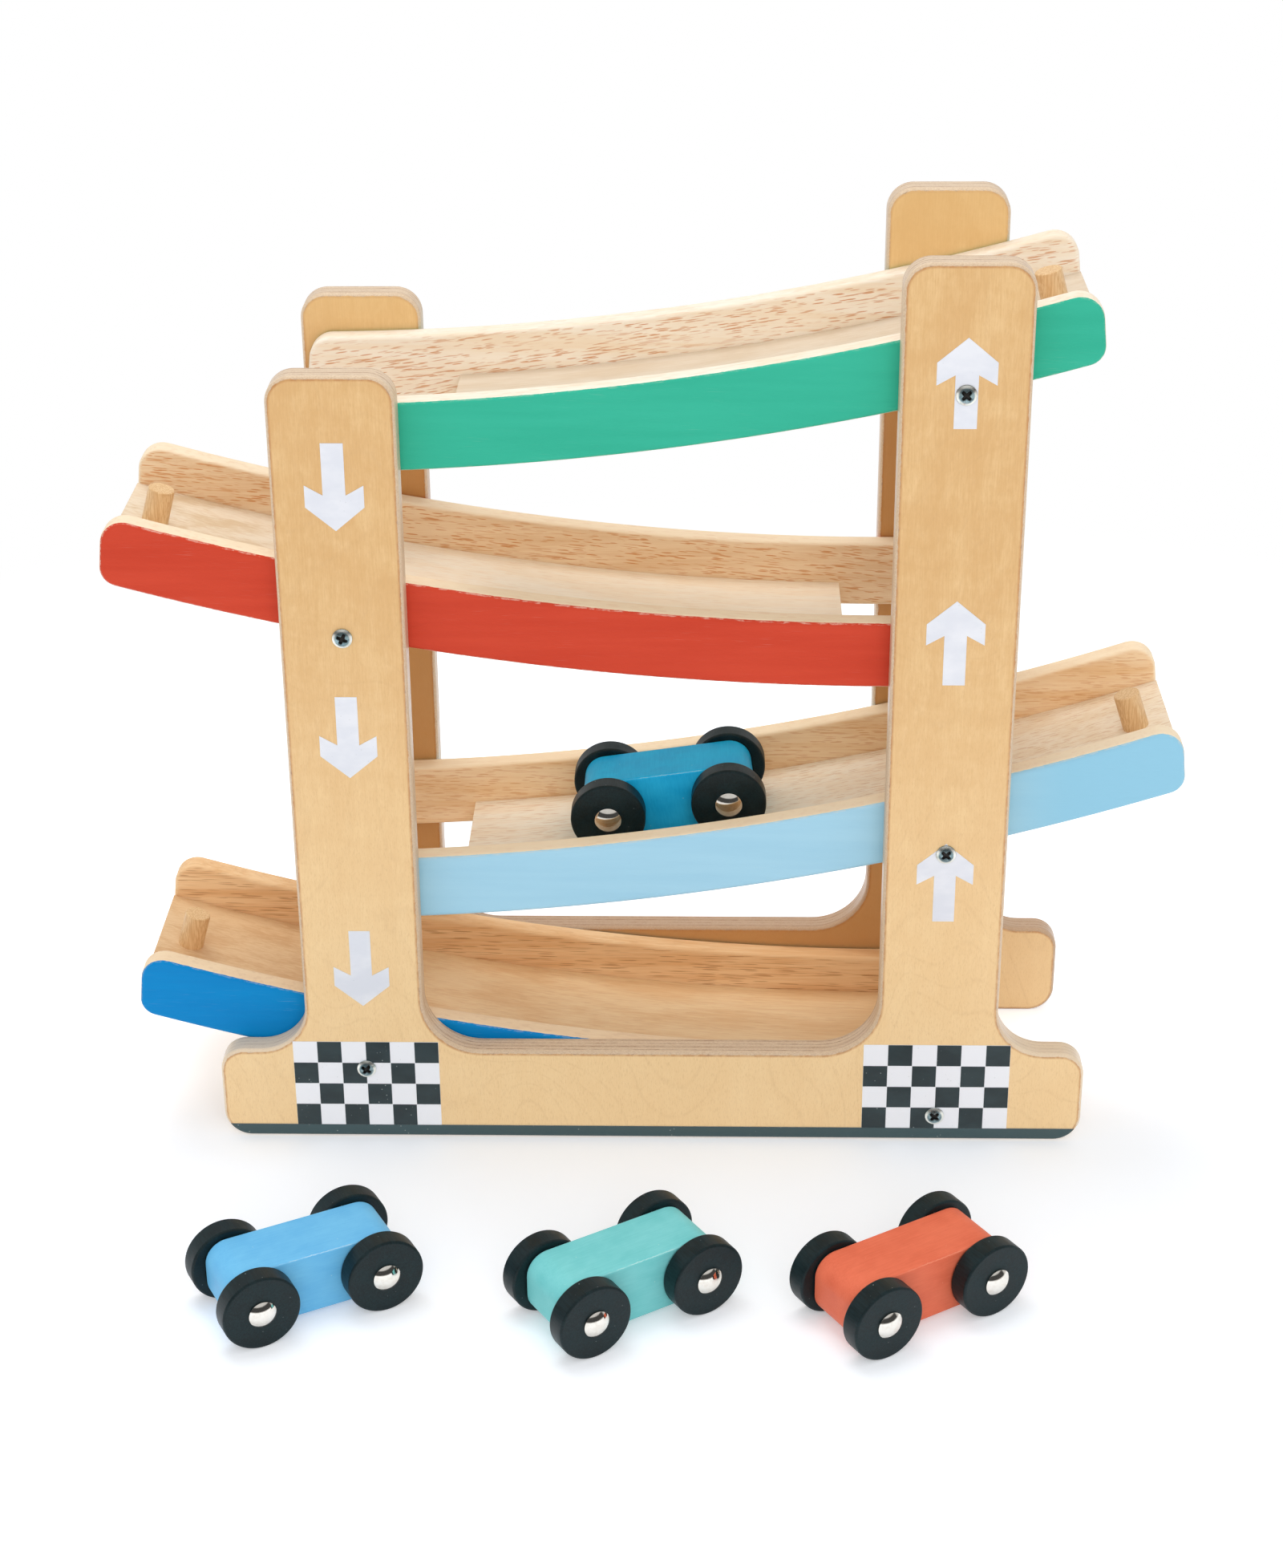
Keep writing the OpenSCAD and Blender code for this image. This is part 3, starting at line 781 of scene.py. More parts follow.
@dataclass(frozen=True)
class PaintedRail:
    """Satin paint on a rail's outer face, and bare rubberwood on its other faces."""

    name: str
    paint: tuple
    deep_paint: tuple
    wood: Rubberwood
    scuff: float
    tail: Optional[tuple] = None
    wrap: float = 0.75
    wrap_blur: float = 0.10
    bare_from_wrap: float = 0.3
    line: tuple = srgb(236, 236, 226)
    bare: tuple = srgb(250, 232, 212)
    coat: Grain = Grain((60, 10, 4.5))
    grain: Grain = Grain((18, 2, 0.35), 2, 0.6)
    scratch: Grain = Grain((9, 2, 0.15), 1, 0.4, turn=(0, 0.03, 0))
    worn: Grain = Grain((34, 9, 9))
    ragged: Grain = Grain((2.6, 1.2, 1.2), 3, 0.7)
    chip: Grain = Grain((3.2, 1.5, 0.8), 3, 0.7)

    def make(self) -> Material:
        """Builds the material."""
        sheet = NodeSheet(self.name)
        wood, height = self.wood.colour(sheet)
        coat, grain, scratch, worn, ragged, chip = (sheet.noise(pattern) for pattern in (
            self.coat, self.grain, self.scratch, self.worn, self.ragged, self.chip))
        paint = sheet.blend(sheet.remap(coat, 0.2, 0.8), self.deep_paint, self.paint)
        lines = sheet.times(sheet.remap(scratch, 0.66, 0.78, 0, 0.12),
                            sheet.remap(worn, 0.45, 0.65, 0.15, 1.0))
        paint = sheet.blend(lines, paint, self.line)
        if self.tail:
            start, end, shade = self.tail
            paint = sheet.blend(sheet.remap(sheet.x, start, end), paint, shade)
        reach = sheet.minus(sheet.swing(ragged, -0.5), sheet.depth())
        painted = sheet.remap(reach, self.wrap - self.wrap_blur, self.wrap + self.wrap_blur, 1, 0)
        colour = sheet.blend(painted, wood, paint)
        ridge = sheet.maths("ABSOLUTE", sheet.minus(reach, self.wrap - self.bare_from_wrap))
        bared = sheet.times(sheet.remap(ridge, 0.04, 0.24, self.scuff, 0),
                            sheet.remap(chip, 0.44, 0.58))
        relief = sheet.relief(sheet.weighed((grain, 0.5), (painted, 1.0)), 0.25, 0.06,
                              Normal=sheet.relief(height, 0.2, 0.08))
        return sheet.finish(sheet.blend(bared, colour, self.bare),
                            sheet.remap(painted, 0, 1, 0.55, 0.42), Normal=relief,
                            Specular_IOR_Level=0.14)


@dataclass(frozen=True)
class DowelWood:
    """Bare dowel wood with its grain along Z."""

    name: str = "dowel_bare"
    dark: tuple = srgb(220, 176, 123)
    light: tuple = srgb(240, 205, 155)
    pore: tuple = srgb(160, 106, 62)
    line: Grain = Grain((0.5, 0.5, 14), 3, 0.6)
    dash: Grain = Grain((0.45, 0.45, 2.4), 1)

    def make(self) -> Material:
        """Builds the material."""
        sheet = NodeSheet(self.name)
        line = sheet.noise(self.line)
        wood = sheet.blend(sheet.remap(line, 0.35, 0.65), self.dark, self.light)
        dash = sheet.remap(sheet.noise(self.dash), 0.60, 0.76, 0, 0.18)
        return sheet.finish(sheet.blend(dash, wood, self.pore), 0.5,
                            Normal=sheet.relief(line, 0.2, 0.08))


@dataclass(frozen=True)
class Specks:
    """Small light specks that show in patches."""

    strength: float
    spacing: float
    patch: float
    reach: Point
    shown: Point

    def over(self, sheet: NodeSheet, base: Socket, colour: tuple,
             source: Optional[Socket] = None) -> Socket:
        """Lays the specks over a colour.

        Args:
            sheet: The material's nodes.
            base: The colour under them.
            colour: Their colour.
            source: Coordinates in metres, if not the toy's.

        Returns:
            The colour with the specks.
        """
        near = sheet.cells(Grain((self.spacing,) * 3), source)
        patch = sheet.noise(Grain((self.patch,) * 3), source)
        share = sheet.times(sheet.remap(near, *self.reach, self.strength, 0),
                            sheet.remap(patch, *self.shown))
        return sheet.blend(share, base, colour)


@dataclass(frozen=True)
class CarPaint:
    """Satin paint on a car's wooden block, worn pale along its edges."""

    name: str
    paint: tuple
    deep_paint: tuple
    worn: tuple
    origin: tuple
    turn: tuple
    stroke: tuple
    worn_rim: float = 0.28
    coat: Grain = Grain((12, 9, 9), 3, 0.6)
    ragged: Grain = Grain((1.3, 1.3, 1.3), 3, 0.7)
    patch: Grain = Grain((5, 5, 5))
    specks: Specks = Specks(0.5, 2.1, 5, (0.06, 0.13), (0.56, 0.62))

    def make(self) -> Material:
        """Builds the material."""
        sheet = NodeSheet(self.name)
        own = sheet.framed(sheet.coords, Location=self.origin, Rotation=self.turn)
        coat, strokes, ragged, patch = (sheet.noise(grain, own) for grain in (
            self.coat, Grain(self.stroke, 3, 0.6), self.ragged, self.patch))
        tone = sheet.weighed((coat, 0.65), (strokes, 0.35))
        paint = sheet.blend(sheet.remap(tone, 0.26, 0.74), self.deep_paint, self.paint)
        paint = self.specks.over(sheet, paint, self.worn, own)
        rim = sheet.plus(sheet.rim, sheet.swing(ragged, 0.5))
        ridge = sheet.maths("ABSOLUTE", sheet.minus(rim, self.worn_rim))
        edge = sheet.times(sheet.remap(ridge, 0.04, 0.16, 0.75, 0),
                           sheet.remap(patch, 0.38, 0.55, 0.25, 1.0))
        return sheet.finish(sheet.blend(edge, paint, self.worn),
                            sheet.remap(coat, 0.3, 0.7, 0.40, 0.52),
                            Normal=sheet.relief(strokes, 0.22, 0.07), Specular_IOR_Level=0.2)


@dataclass(frozen=True)
class WheelPaint:
    """Slate black satin paint on a wooden wheel, its grain along the axle."""

    name: str
    origin: tuple
    turn: tuple
    dark: tuple = srgb(9, 26, 29)
    light: tuple = srgb(20, 41, 45)
    dust: tuple = srgb(170, 176, 176)
    cross: Grain = Grain((0.45, 5, 0.45), 3, 0.65)
    coat: Grain = Grain((6, 6, 6))
    specks: Specks = Specks(0.55, 1.9, 4, (0.06, 0.13), (0.54, 0.62))

    def make(self) -> Material:
        """Builds the material."""
        sheet = NodeSheet(self.name)
        own = sheet.framed(sheet.coords, Location=self.origin, Rotation=self.turn)
        cross, coat = sheet.noise(self.cross, own), sheet.noise(self.coat, own)
        tone = sheet.remap(sheet.weighed((cross, 0.6), (coat, 0.4)), 0.36, 0.66)
        paint = sheet.blend(tone, self.dark, self.light)
        return sheet.finish(self.specks.over(sheet, paint, self.dust, own),
                            sheet.remap(coat, 0.3, 0.7, 0.40, 0.52),
                            Normal=sheet.relief(cross, 0.3, 0.10), Specular_IOR_Level=0.28)


@dataclass(frozen=True)
class BrightMetal:
    """Plated metal with faint smudges, with painted shade in a recess and a painted highlight on
    its border if it has one.
    """

    name: str
    light: tuple
    dark: tuple
    smooth: float
    rough: float
    # Painted highlight: a pale ring at a screw head's edge.
    border: Optional[tuple] = None
    # Painted shade in a screw head's cross recess.
    recess: tuple = srgb(48, 46, 44)
    highlight_rim: Point = (-0.86, -0.68)
    smudge: Grain = Grain((1.6, 1.6, 1.6), 3, 0.6)

    def make(self) -> Material:
        """Builds the material."""
        sheet = NodeSheet(self.name)
        smudge = sheet.noise(self.smudge)
        colour = sheet.blend(sheet.remap(smudge, 0.4, 0.7), self.light, self.dark)
        # Painted highlight on the head's edge.
        if self.border:
            on_highlight = sheet.remap(sheet.rim, *self.highlight_rim, 1, 0)
            colour = sheet.blend(on_highlight, colour, self.border)
        # Painted shade in the recess.
        colour = sheet.blend(sheet.remap(sheet.rim, 0.1, 0.7), colour, self.recess)
        return sheet.finish(colour, sheet.remap(smudge, 0.35, 0.7, self.smooth, self.rough),
                            Normal=sheet.relief(smudge, 0.08, 0.05), Metallic=1.0)


@dataclass(frozen=True)
class Vinyl:
    """Printed vinyl or ink with dust specks, lighter below a height as painted light."""

    name: str
    base: tuple
    deep: tuple
    dust: tuple
    rough: float
    specks: Specks
    # Painted light: a lighter colour below this height, nearer the bright floor.
    painted_light_top: float
    low: tuple
    painted_light_blur: float = 0.1
    cloud: Grain = Grain((16, 16, 9), 3, 0.6)
    fine: Grain = Grain((0.8, 0.8, 0.8))

    def make(self) -> Material:
        """Builds the material."""
        sheet = NodeSheet(self.name)
        cloud = sheet.remap(sheet.noise(self.cloud), 0.35, 0.68)
        colour = sheet.blend(cloud, self.deep, self.base)
        # Painted light below the height.
        is_low = sheet.remap(sheet.z, self.painted_light_top - self.painted_light_blur,
                             self.painted_light_top + self.painted_light_blur, 1, 0)
        colour = self.specks.over(sheet, sheet.blend(is_low, colour, self.low), self.dust)
        return sheet.finish(colour, self.rough,
                            Normal=sheet.relief(sheet.noise(self.fine), 0.1, 0.03))


@dataclass(frozen=True)
class Backdrop:
    """White studio floor: it shows the toy's shadow and fades into the white sky."""

    name: str = "studio_floor"
    tint: tuple = (0.845, 0.885, 0.94, 1.0)
    to_toy: tuple = (0.95, 0.95, 0.95, 1.0)
    to_toy_glow: float = 0.10
    front_lift: float = 0.24
    back_lift: float = 0.5
    near_lift: float = 0.07
    back_y: Point = (0, 90)
    near_y: Point = (-100, -30)
    fade: Point = (350, 620)

    def make(self) -> Material:
        """Builds the material."""
        sheet = NodeSheet(self.name)
        path = sheet.node("ShaderNodeLightPath").outputs
        seen = sheet.maths("MAXIMUM", path["Is Camera Ray"], path["Is Glossy Ray"])
        length = sheet.node("ShaderNodeVectorMath", Vector=sheet.place)
        length.operation = "LENGTH"
        away = sheet.remap(length.outputs["Value"], *self.fade)
        lift = sheet.plus(sheet.remap(sheet.y, *self.back_y, self.front_lift, self.back_lift),
                          sheet.remap(sheet.y, *self.near_y, self.near_lift, 0))
        lift = sheet.plus(sheet.times(lift, sheet.minus(1.0, away)), away)
        glow = sheet.plus(sheet.times(seen, lift),
                          sheet.times(sheet.minus(1.0, seen), self.to_toy_glow))
        colour = sheet.blend(seen, self.to_toy, sheet.blend(away, self.tint, (0, 0, 0, 1)))
        return sheet.finish(colour, 1.0, Emission_Color=(1, 1, 1, 1), Emission_Strength=glow,
                            Specular_IOR_Level=0.0)


# Sub-assemblies

@dataclass
class Track:
    """One curved track: two rails, a floor board between them and a stop peg."""

    name: str
    high_side: Side
    low: float
    floor_z: float
    finish: PaintedRail
    board: Rubberwood
    past_high: float = 55.5
    runs_out: bool = False
    curve: float = 883.6
    wall_h: float = 13.6
    floor_t: float = 8.2
    rail_t: float = 8.0
    lean: float = 6.0
    top_r: float = 7.5
    low_r: float = 6.0
    rail_edge: float = 1.5
    floor_edge: float = 0.5
    floor_border: float = 2.0
    peg_d: float = 8.5
    peg_h: float = 12.4
    peg_seat: float = 5.5
    peg_inset: float = 10.2
    peg_edge: float = 0.5
    peg_sides: int = 48
    low_screw_rise: float = 1.6
    curve_steps: int = 72
    end_steps: int = 10

    def top_edge(self) -> float:
        """Radius of the rails' top edge."""
        return self.curve - self.wall_h

    def low_edge(self) -> float:
        """Radius of the rails' bottom edge."""
        return self.curve + self.floor_t

    def centre_z(self) -> float:
        """Height of the curve's centre."""
        return self.floor_z + self.curve

    def reach(self) -> float:
        """Distance of the high end from the lowest point."""
        return TOWER.upright_out() + self.past_high + self.low

    def low_reach(self) -> float:
        """Distance of the rails' low end from the lowest point."""
        return TOWER.upright_out() - TOWER.low_inset - self.low

    def end_out(self) -> Point:
        """Direction out of the leaning end on the right."""
        lean = math.radians(self.lean)
        return math.cos(lean), math.sin(lean)

    def round_at(self, reach: float, radius: float, corner: float) -> Point:
        """Centre of a round corner.

        Args:
            reach: Where the end's leaning line meets the middle of a rail.
            radius: Distance of the centre from the curve's centre.
            corner: Radius of the corner.

        Returns:
            The centre, with the curve's centre at zero.
        """
        across, up = self.end_out()
        middle = self.curve + (self.floor_t - self.wall_h) / 2
        out = reach * across - down(middle, reach) * up - corner
        under = down(radius, out)
        return out * across + under * up, out * up - under * across

    def round_end(self, reach: float, top: bool) -> Outline:
        """The leaning end on the right, from its bottom corner to its top corner.

        Args:
            reach: Reach of the end.
            top: True for a rail, with a round top corner, False for the floor board.

        Returns:
            The outline's part.
        """
        part = Outline()
        low = self.round_at(reach, self.low_edge() - self.low_r, self.low_r)
        start = math.degrees(math.atan2(low[1], low[0]))
        part.arc(low, self.low_r, start, self.lean, self.end_steps)
        if top:
            high = self.round_at(reach, self.top_edge() + self.top_r, self.top_r)
            end = math.degrees(math.atan2(high[1], high[0])) + 180
            part.arc(high, self.top_r, self.lean, end, self.end_steps)
        else:
            corner = self.round_at(reach, self.curve, 0.0)
            ray = Vector(corner).normalized()
            part.corner(corner, self.end_out(), (-ray[0], -ray[1]))
        return part

    def drop_end(self, inner: float) -> Outline:
        """The upright end over the drop gap, on the left, from top to bottom.

        Args:
            inner: Radius of the upper edge.

        Returns:
            The outline's part.
        """
        part = Outline()
        x = self.low - TOWER.upright_in() + TOWER.drop_inset
        wall = (-1.0, 0.0)
        for radius, sign in ((inner, -1), (self.low_edge(), 1)):
            ray = ray_down(radius, x)
            out = (sign * ray[0], sign * ray[1])
            part.corner((x, radius * ray[1]), *((wall, out) if sign == 1 else (out, wall)))
        return part

    def sweep(self, radius: float, start: float, end: float, sign: float) -> Outline:
        """An arc about the curve's centre between two x values.

        Args:
            radius: Radius of the arc.
            start: X of its first point.
            end: X of its last point.
            sign: 1 where out is away from the centre, -1 where it is towards it.

        Returns:
            The outline's part, without its two end points.
        """
        part = Outline()
        for i in range(1, self.curve_steps):
            x = start + (end - start) * i / self.curve_steps
            ray = ray_down(radius, x)
            part.smooth((x, radius * ray[1]), (sign * ray[0], sign * ray[1]))
        return part

    def outline(self, inner: float, with_top: bool) -> Outline:
        """Outline of the track's long parts, in the tower's frame.

        Args:
            inner: Radius of the upper edge.
            with_top: True for a rail, False for the floor board.

        Returns:
            The outline.
        """
        right = self.round_end(self.reach(), with_top)
        if with_top or self.runs_out:
            left = self.round_end(self.low_reach(), with_top).mirrored()
        else:
            left = self.drop_end(inner)
        ends = [(part.points[0].place[0], part.points[-1].place[0]) for part in (right, left)]
        low_edge = self.sweep(self.low_edge(), ends[1][1], ends[0][0], 1)
        top_edge = self.sweep(inner, ends[0][1], ends[1][0], -1)
        whole = Outline(right.points + top_edge.points + left.points + low_edge.points)
        whole = whole.moved(-self.low, self.centre_z())
        return whole if self.high_side is Side.RIGHT else whole.mirrored()

    def rail(self, face: Face, paint: Material) -> Piece:
        """One rail, painted on its outer face.

        Args:
            face: The side of the tower that it is on.
            paint: Its finish.

        Returns:
            The rail.
        """
        ys = sorted(face.y(away) for away in (TOWER.half_gap, TOWER.half_gap - self.rail_t))
        made = plate(self.outline(self.top_edge(), True), *ys, self.rail_edge)
        return made.build(f"{self.name}_{face.word()}_rail_wood", paint)

    def floor(self) -> Piece:
        """The floor board between the rails."""
        half = TOWER.half_gap - self.rail_t
        made = plate(self.outline(self.curve, False), TOWER.middle - half, TOWER.middle + half,
                     self.floor_edge, self.floor_border, steps=3)
        return made.build(f"{self.name}_floor_board", self.board.make())

    def peg(self, wood: Material) -> Piece:
        """The stop peg, upright on the floor board at the high end.

        Args:
            wood: Its finish.

        Returns:
            The peg.
        """
        radius, length = self.peg_d / 2, self.peg_seat + self.peg_h
        profile = [(0, 0, 0, -1), (radius - BREAK, 0, 0, -1), (radius, BREAK, 1, 0),
                   *rounded(radius, length, self.peg_edge), (0, length, 0, 1)]
        lean = math.asin((self.reach() - self.peg_inset) / self.curve)
        side = self.high_side.value
        place = (Matrix.Translation((-side * self.low, TOWER.middle, self.centre_z()))
                 @ Matrix.Rotation(-side * lean, 4, "Y")
                 @ Matrix.Translation((0, 0, -self.curve - self.peg_seat)))
        return lathe(profile, self.peg_sides).build(f"{self.name}_stop_peg", wood, place)

    def screw_places(self) -> list[Point]:
        """X and Z of the track's screws, in the tower's frame."""
        middle = self.curve + self.floor_t / 2
        places = []
        for end, rise in [(1, 0.0)] + ([(-1, self.low_screw_rise)] if self.runs_out else []):
            x = end * TOWER.upright_x + self.low
            places.append((self.high_side.value * (x - self.low),
                           self.floor_z + self.curve + rise - down(middle, x)))
        return places

    def assemble(self, dowel: Material) -> None:
        """Builds the track's pieces and says what each stands for.

        Args:
            dowel: Finish of the stop peg.
        """
        paint = self.finish.make()
        for face in Face:
            take_over(self.rail(face, paint), TOWER_BODY, f"{self.name}_{face.word()}_rail")
        take_over(self.floor(), TOWER_BODY, f"{self.name}_floor")
        take_over(self.peg(dowel), TOWER_BODY, f"{self.name}_peg")


@dataclass
class SidePanel:
    """The two plywood side panels, each a base bar with feet and two uprights."""

    left_h: float
    right_h: float
    base_l: float = 286.0
    base_h: float = 33.4
    inner_r: float = 19.0
    outer_r: float = 16.0
    top_r: float = 8.5
    foot_top_r: float = 8.0
    foot_low_r: float = 9.0
    edge: float = 1.7
    border: float = 3.4
    fillet_steps: int = 16

    def half_outline(self, height: float) -> Outline:
        """The right half, from the foot's bottom corner to the inner fillet.

        Args:
            height: Height of the upright.

        Returns:
            The outline's part.
        """
        half, base_h, top = self.base_l / 2, self.base_h, height - self.top_r
        out, inside = TOWER.upright_out(), TOWER.upright_in()
        part = Outline()
        part.arc((half - self.foot_low_r, self.foot_low_r), self.foot_low_r, -90, 0)
        part.arc((half - self.foot_top_r, base_h - self.foot_top_r), self.foot_top_r, 0, 90)
        part.arc((out + self.outer_r, base_h + self.outer_r), self.outer_r, 270, 180,
                 self.fillet_steps)
        part.arc((out - self.top_r, top), self.top_r, 0, 90)
        part.arc((inside + self.top_r, top), self.top_r, 90, 180)
        part.arc((inside - self.inner_r, base_h + self.inner_r), self.inner_r, 0, -90,
                 self.fillet_steps)
        return part

    def build(self, face: Face, wood: Material) -> Piece:
        """One panel.

        Args:
            face: The side of the tower that it is on.
            wood: Its finish.

        Returns:
            The panel.
        """
        whole = Outline(self.half_outline(self.right_h).points
                        + self.half_outline(self.left_h).mirrored().points)
        ys = sorted(face.y(away) for away in (TOWER.half_gap, TOWER.outer()))
        made = plate(whole, *ys, self.edge, self.border, steps=6)
        return made.build(f"{face.word()}_panel_ply", wood)


class PointTree(Nodes):
    """A Geometry Nodes tree with named inputs, which runs on loose points."""

    def __init__(self, name: str, **kinds: str) -> None:
        """Makes the tree with its sockets.

        Args:
            name: Name of the tree.
            kinds: Its named inputs and the kind of socket of each.
        """
        super().__init__(bpy.data.node_groups.new(name, "GeometryNodeTree"))
        sockets = self.tree.interface
        sockets.new_socket("Geometry", in_out="OUTPUT", socket_type="NodeSocketGeometry")
        self.identifiers = {
            key: sockets.new_socket(key, in_out="INPUT", socket_type=f"NodeSocket{kind}").identifier
            for key, kind in {"Geometry": "Geometry", **kinds, "Seed": "Int"}.items()}
        self.given = self.node("NodeGroupInput").outputs

    def random(self, low: float, high: float) -> Socket:
        """A random number for each point, drawn with the tree's Seed.

        Args:
            low: Least number.
            high: Greatest number.

        Returns:
            The numbers.
        """
        made = self.node("FunctionNodeRandomValue", Seed=self.given["Seed"])
        made.inputs[2].default_value, made.inputs[3].default_value = low, high
        return made.outputs[1]

    def set_at_points(self, points: Socket, model: Socket, material: Material,
                      **turned: Socket) -> None:
        """Sets a model at each point and ends the tree.

        Args:
            points: The points.
            model: The model's geometry.
            material: Finish of the result.
            turned: Rotation or Scale of the models.
        """
        models = self.node("GeometryNodeInstanceOnPoints", Points=points, Instance=model, **turned)
        real = self.node("GeometryNodeRealizeInstances", Geometry=models.outputs[0])
        dressed = self.node("GeometryNodeSetMaterial", Geometry=real.outputs[0],
                            Material=material)
        self.node("NodeGroupOutput", Geometry=dressed.outputs[0])

    def apply(self, name: str, points: Iterable[Sequence[float]], **values: object) -> Piece:
        """Runs the tree on points and keeps the result as a plain mesh.

        Args:
            name: Name of the new object.
            points: The points, in millimetres.
            values: Named inputs.

        Returns:
            The object with the result.
        """
        loose = bpy.data.meshes.new(f"{name}_points")
        loose.from_pydata([Vector(p) * MM for p in points], [], [])
        carrier = in_scene(f"{name}_points", loose)
        modifier = carrier.modifiers.new(name, "NODES")
        modifier.node_group = self.tree
        for key, value in values.items():
            modifier[self.identifiers[key]] = value
        graph = bpy.context.evaluated_depsgraph_get()
        mesh = bpy.data.meshes.new_from_object(carrier.evaluated_get(graph))
        bpy.data.objects.remove(carrier)
        mesh.name = name
        return in_scene(name, mesh)


@dataclass
class Screws:
    """The pan head screws of the panels: five on each, placed by Geometry Nodes."""

    places: list[Point]
    head_d: float = 6.2
    head_h: float = 1.6
    rim_h: float = 0.56
    shank_d: float = 3.4
    shank_l: float = 30.0
    tip_l: float = 2.0
    point_l: float = 0.6
    cross_w: float = 1.15
    cross_l: float = 4.0
    cross_deep: float = 1.0
    cross_edge: float = 0.22
    cross_end: float = 0.5
    cross_swell: float = 0.14
    cross_taper: float = 0.5
    rings: int = 26
    segments: int = 72
    least_turn: float = 25.0
    most_turn: float = 65.0
    seeds: tuple = (5, 11)

    def recess(self, x: float, y: float) -> float:
        """How much of the cross recess there is at a place on the head.

        Args:
            x: First coordinate from the head's middle.
            y: Second coordinate from the head's middle.

        Returns:
            1 on the recess's floor, 0 outside it.
        """
        share, reach = 0.0, self.cross_l / 2
        for along, across in ((abs(x), abs(y)), (abs(y), abs(x))):
            wide = self.cross_w / 2 * (1.15 - self.cross_taper * along / reach)
            side = min(1.0, max(0.0, (wide + self.cross_swell - across) / self.cross_edge))
            end = min(1.0, max(0.0, (reach - along) / self.cross_end))
            share = max(share, side * end)
        return share

    def template(self) -> MeshMaker:
        """One screw about its own Z axis, its head up and its underside at zero."""
        made = MeshMaker()
        half, shank = self.head_d / 2, self.shank_d / 2
        dome = self.head_h - self.rim_h
        dome_r = (half * half + dome * dome) / (2 * dome)

        def on_head(x: float, y: float, ring: int) -> int:
            """Adds a vertex of the head, with the recess's share or else its ring.

            Args:
                x: Place across the head.
                y: Place up the head.
                ring: Number of its ring, from the middle.

            Returns:
                The vertex's number.
            """
            share = self.recess(x, y)
            top = self.head_h - dome_r + down(dome_r, math.hypot(x, y))
            return made.vertex((x, y, top - share * self.cross_deep),
                               Vector((x, y, dome_r)).normalized(),
                               share if share > 0 else -ring / self.rings)

        rows = [[on_head(0, 0, 0)]]
        for k in range(1, self.rings + 1):
            radius = half * k / self.rings
            rows.append([on_head(radius * x, radius * y, k) for x, y in rays(self.segments)])
        for radius, height in ((half, 0.0), (shank, 0.0), (shank, self.tip_l - self.shank_l),
                               (shank * 0.5, self.point_l - self.shank_l),
                               (BREAK, -self.shank_l)):
            rows.append([made.vertex((radius * x, radius * y, height), (x, y, 0))
                         for x, y in rays(self.segments)])
        for before, after in zip(rows, rows[1:]):
            made.bridge(before[::-1], after[::-1])
        made.faces.append(tuple(rows[-1][::-1]))
        return made

    def assemble(self, metal: Material) -> None:
        """Builds both panels' screws, each turned at random.

        Args:
            metal: Their finish.
        """
        tree = PointTree("screw_setter", Screw="Object", Facing="Float")
        info = tree.node("GeometryNodeObjectInfo", Object=tree.given["Screw"])
        turn = tree.random(math.radians(self.least_turn), math.radians(self.most_turn))
        facing = tree.node("ShaderNodeCombineXYZ", X=tree.given["Facing"])
        turned = tree.node("FunctionNodeRotateEuler", Rotation=facing.outputs[0],
                           Rotate_By=tree.node("ShaderNodeCombineXYZ", Z=turn).outputs[0])
        turned.space = "LOCAL"
        tree.set_at_points(tree.given["Geometry"], info.outputs["Geometry"], metal,
                           Rotation=turned.outputs[0])
        model = self.template().build("screw_model", metal)
        for face, seed in zip(Face, self.seeds):
            y = face.y(TOWER.outer())
            screws = tree.apply(f"{face.word()}_panel_screws", [(x, y, z) for x, z in self.places],
                                Screw=model, Facing=-face.value * math.pi / 2, Seed=seed)
            take_over(screws, TOWER_BODY, f"{face.word()}_screws")
        bpy.data.objects.remove(model)


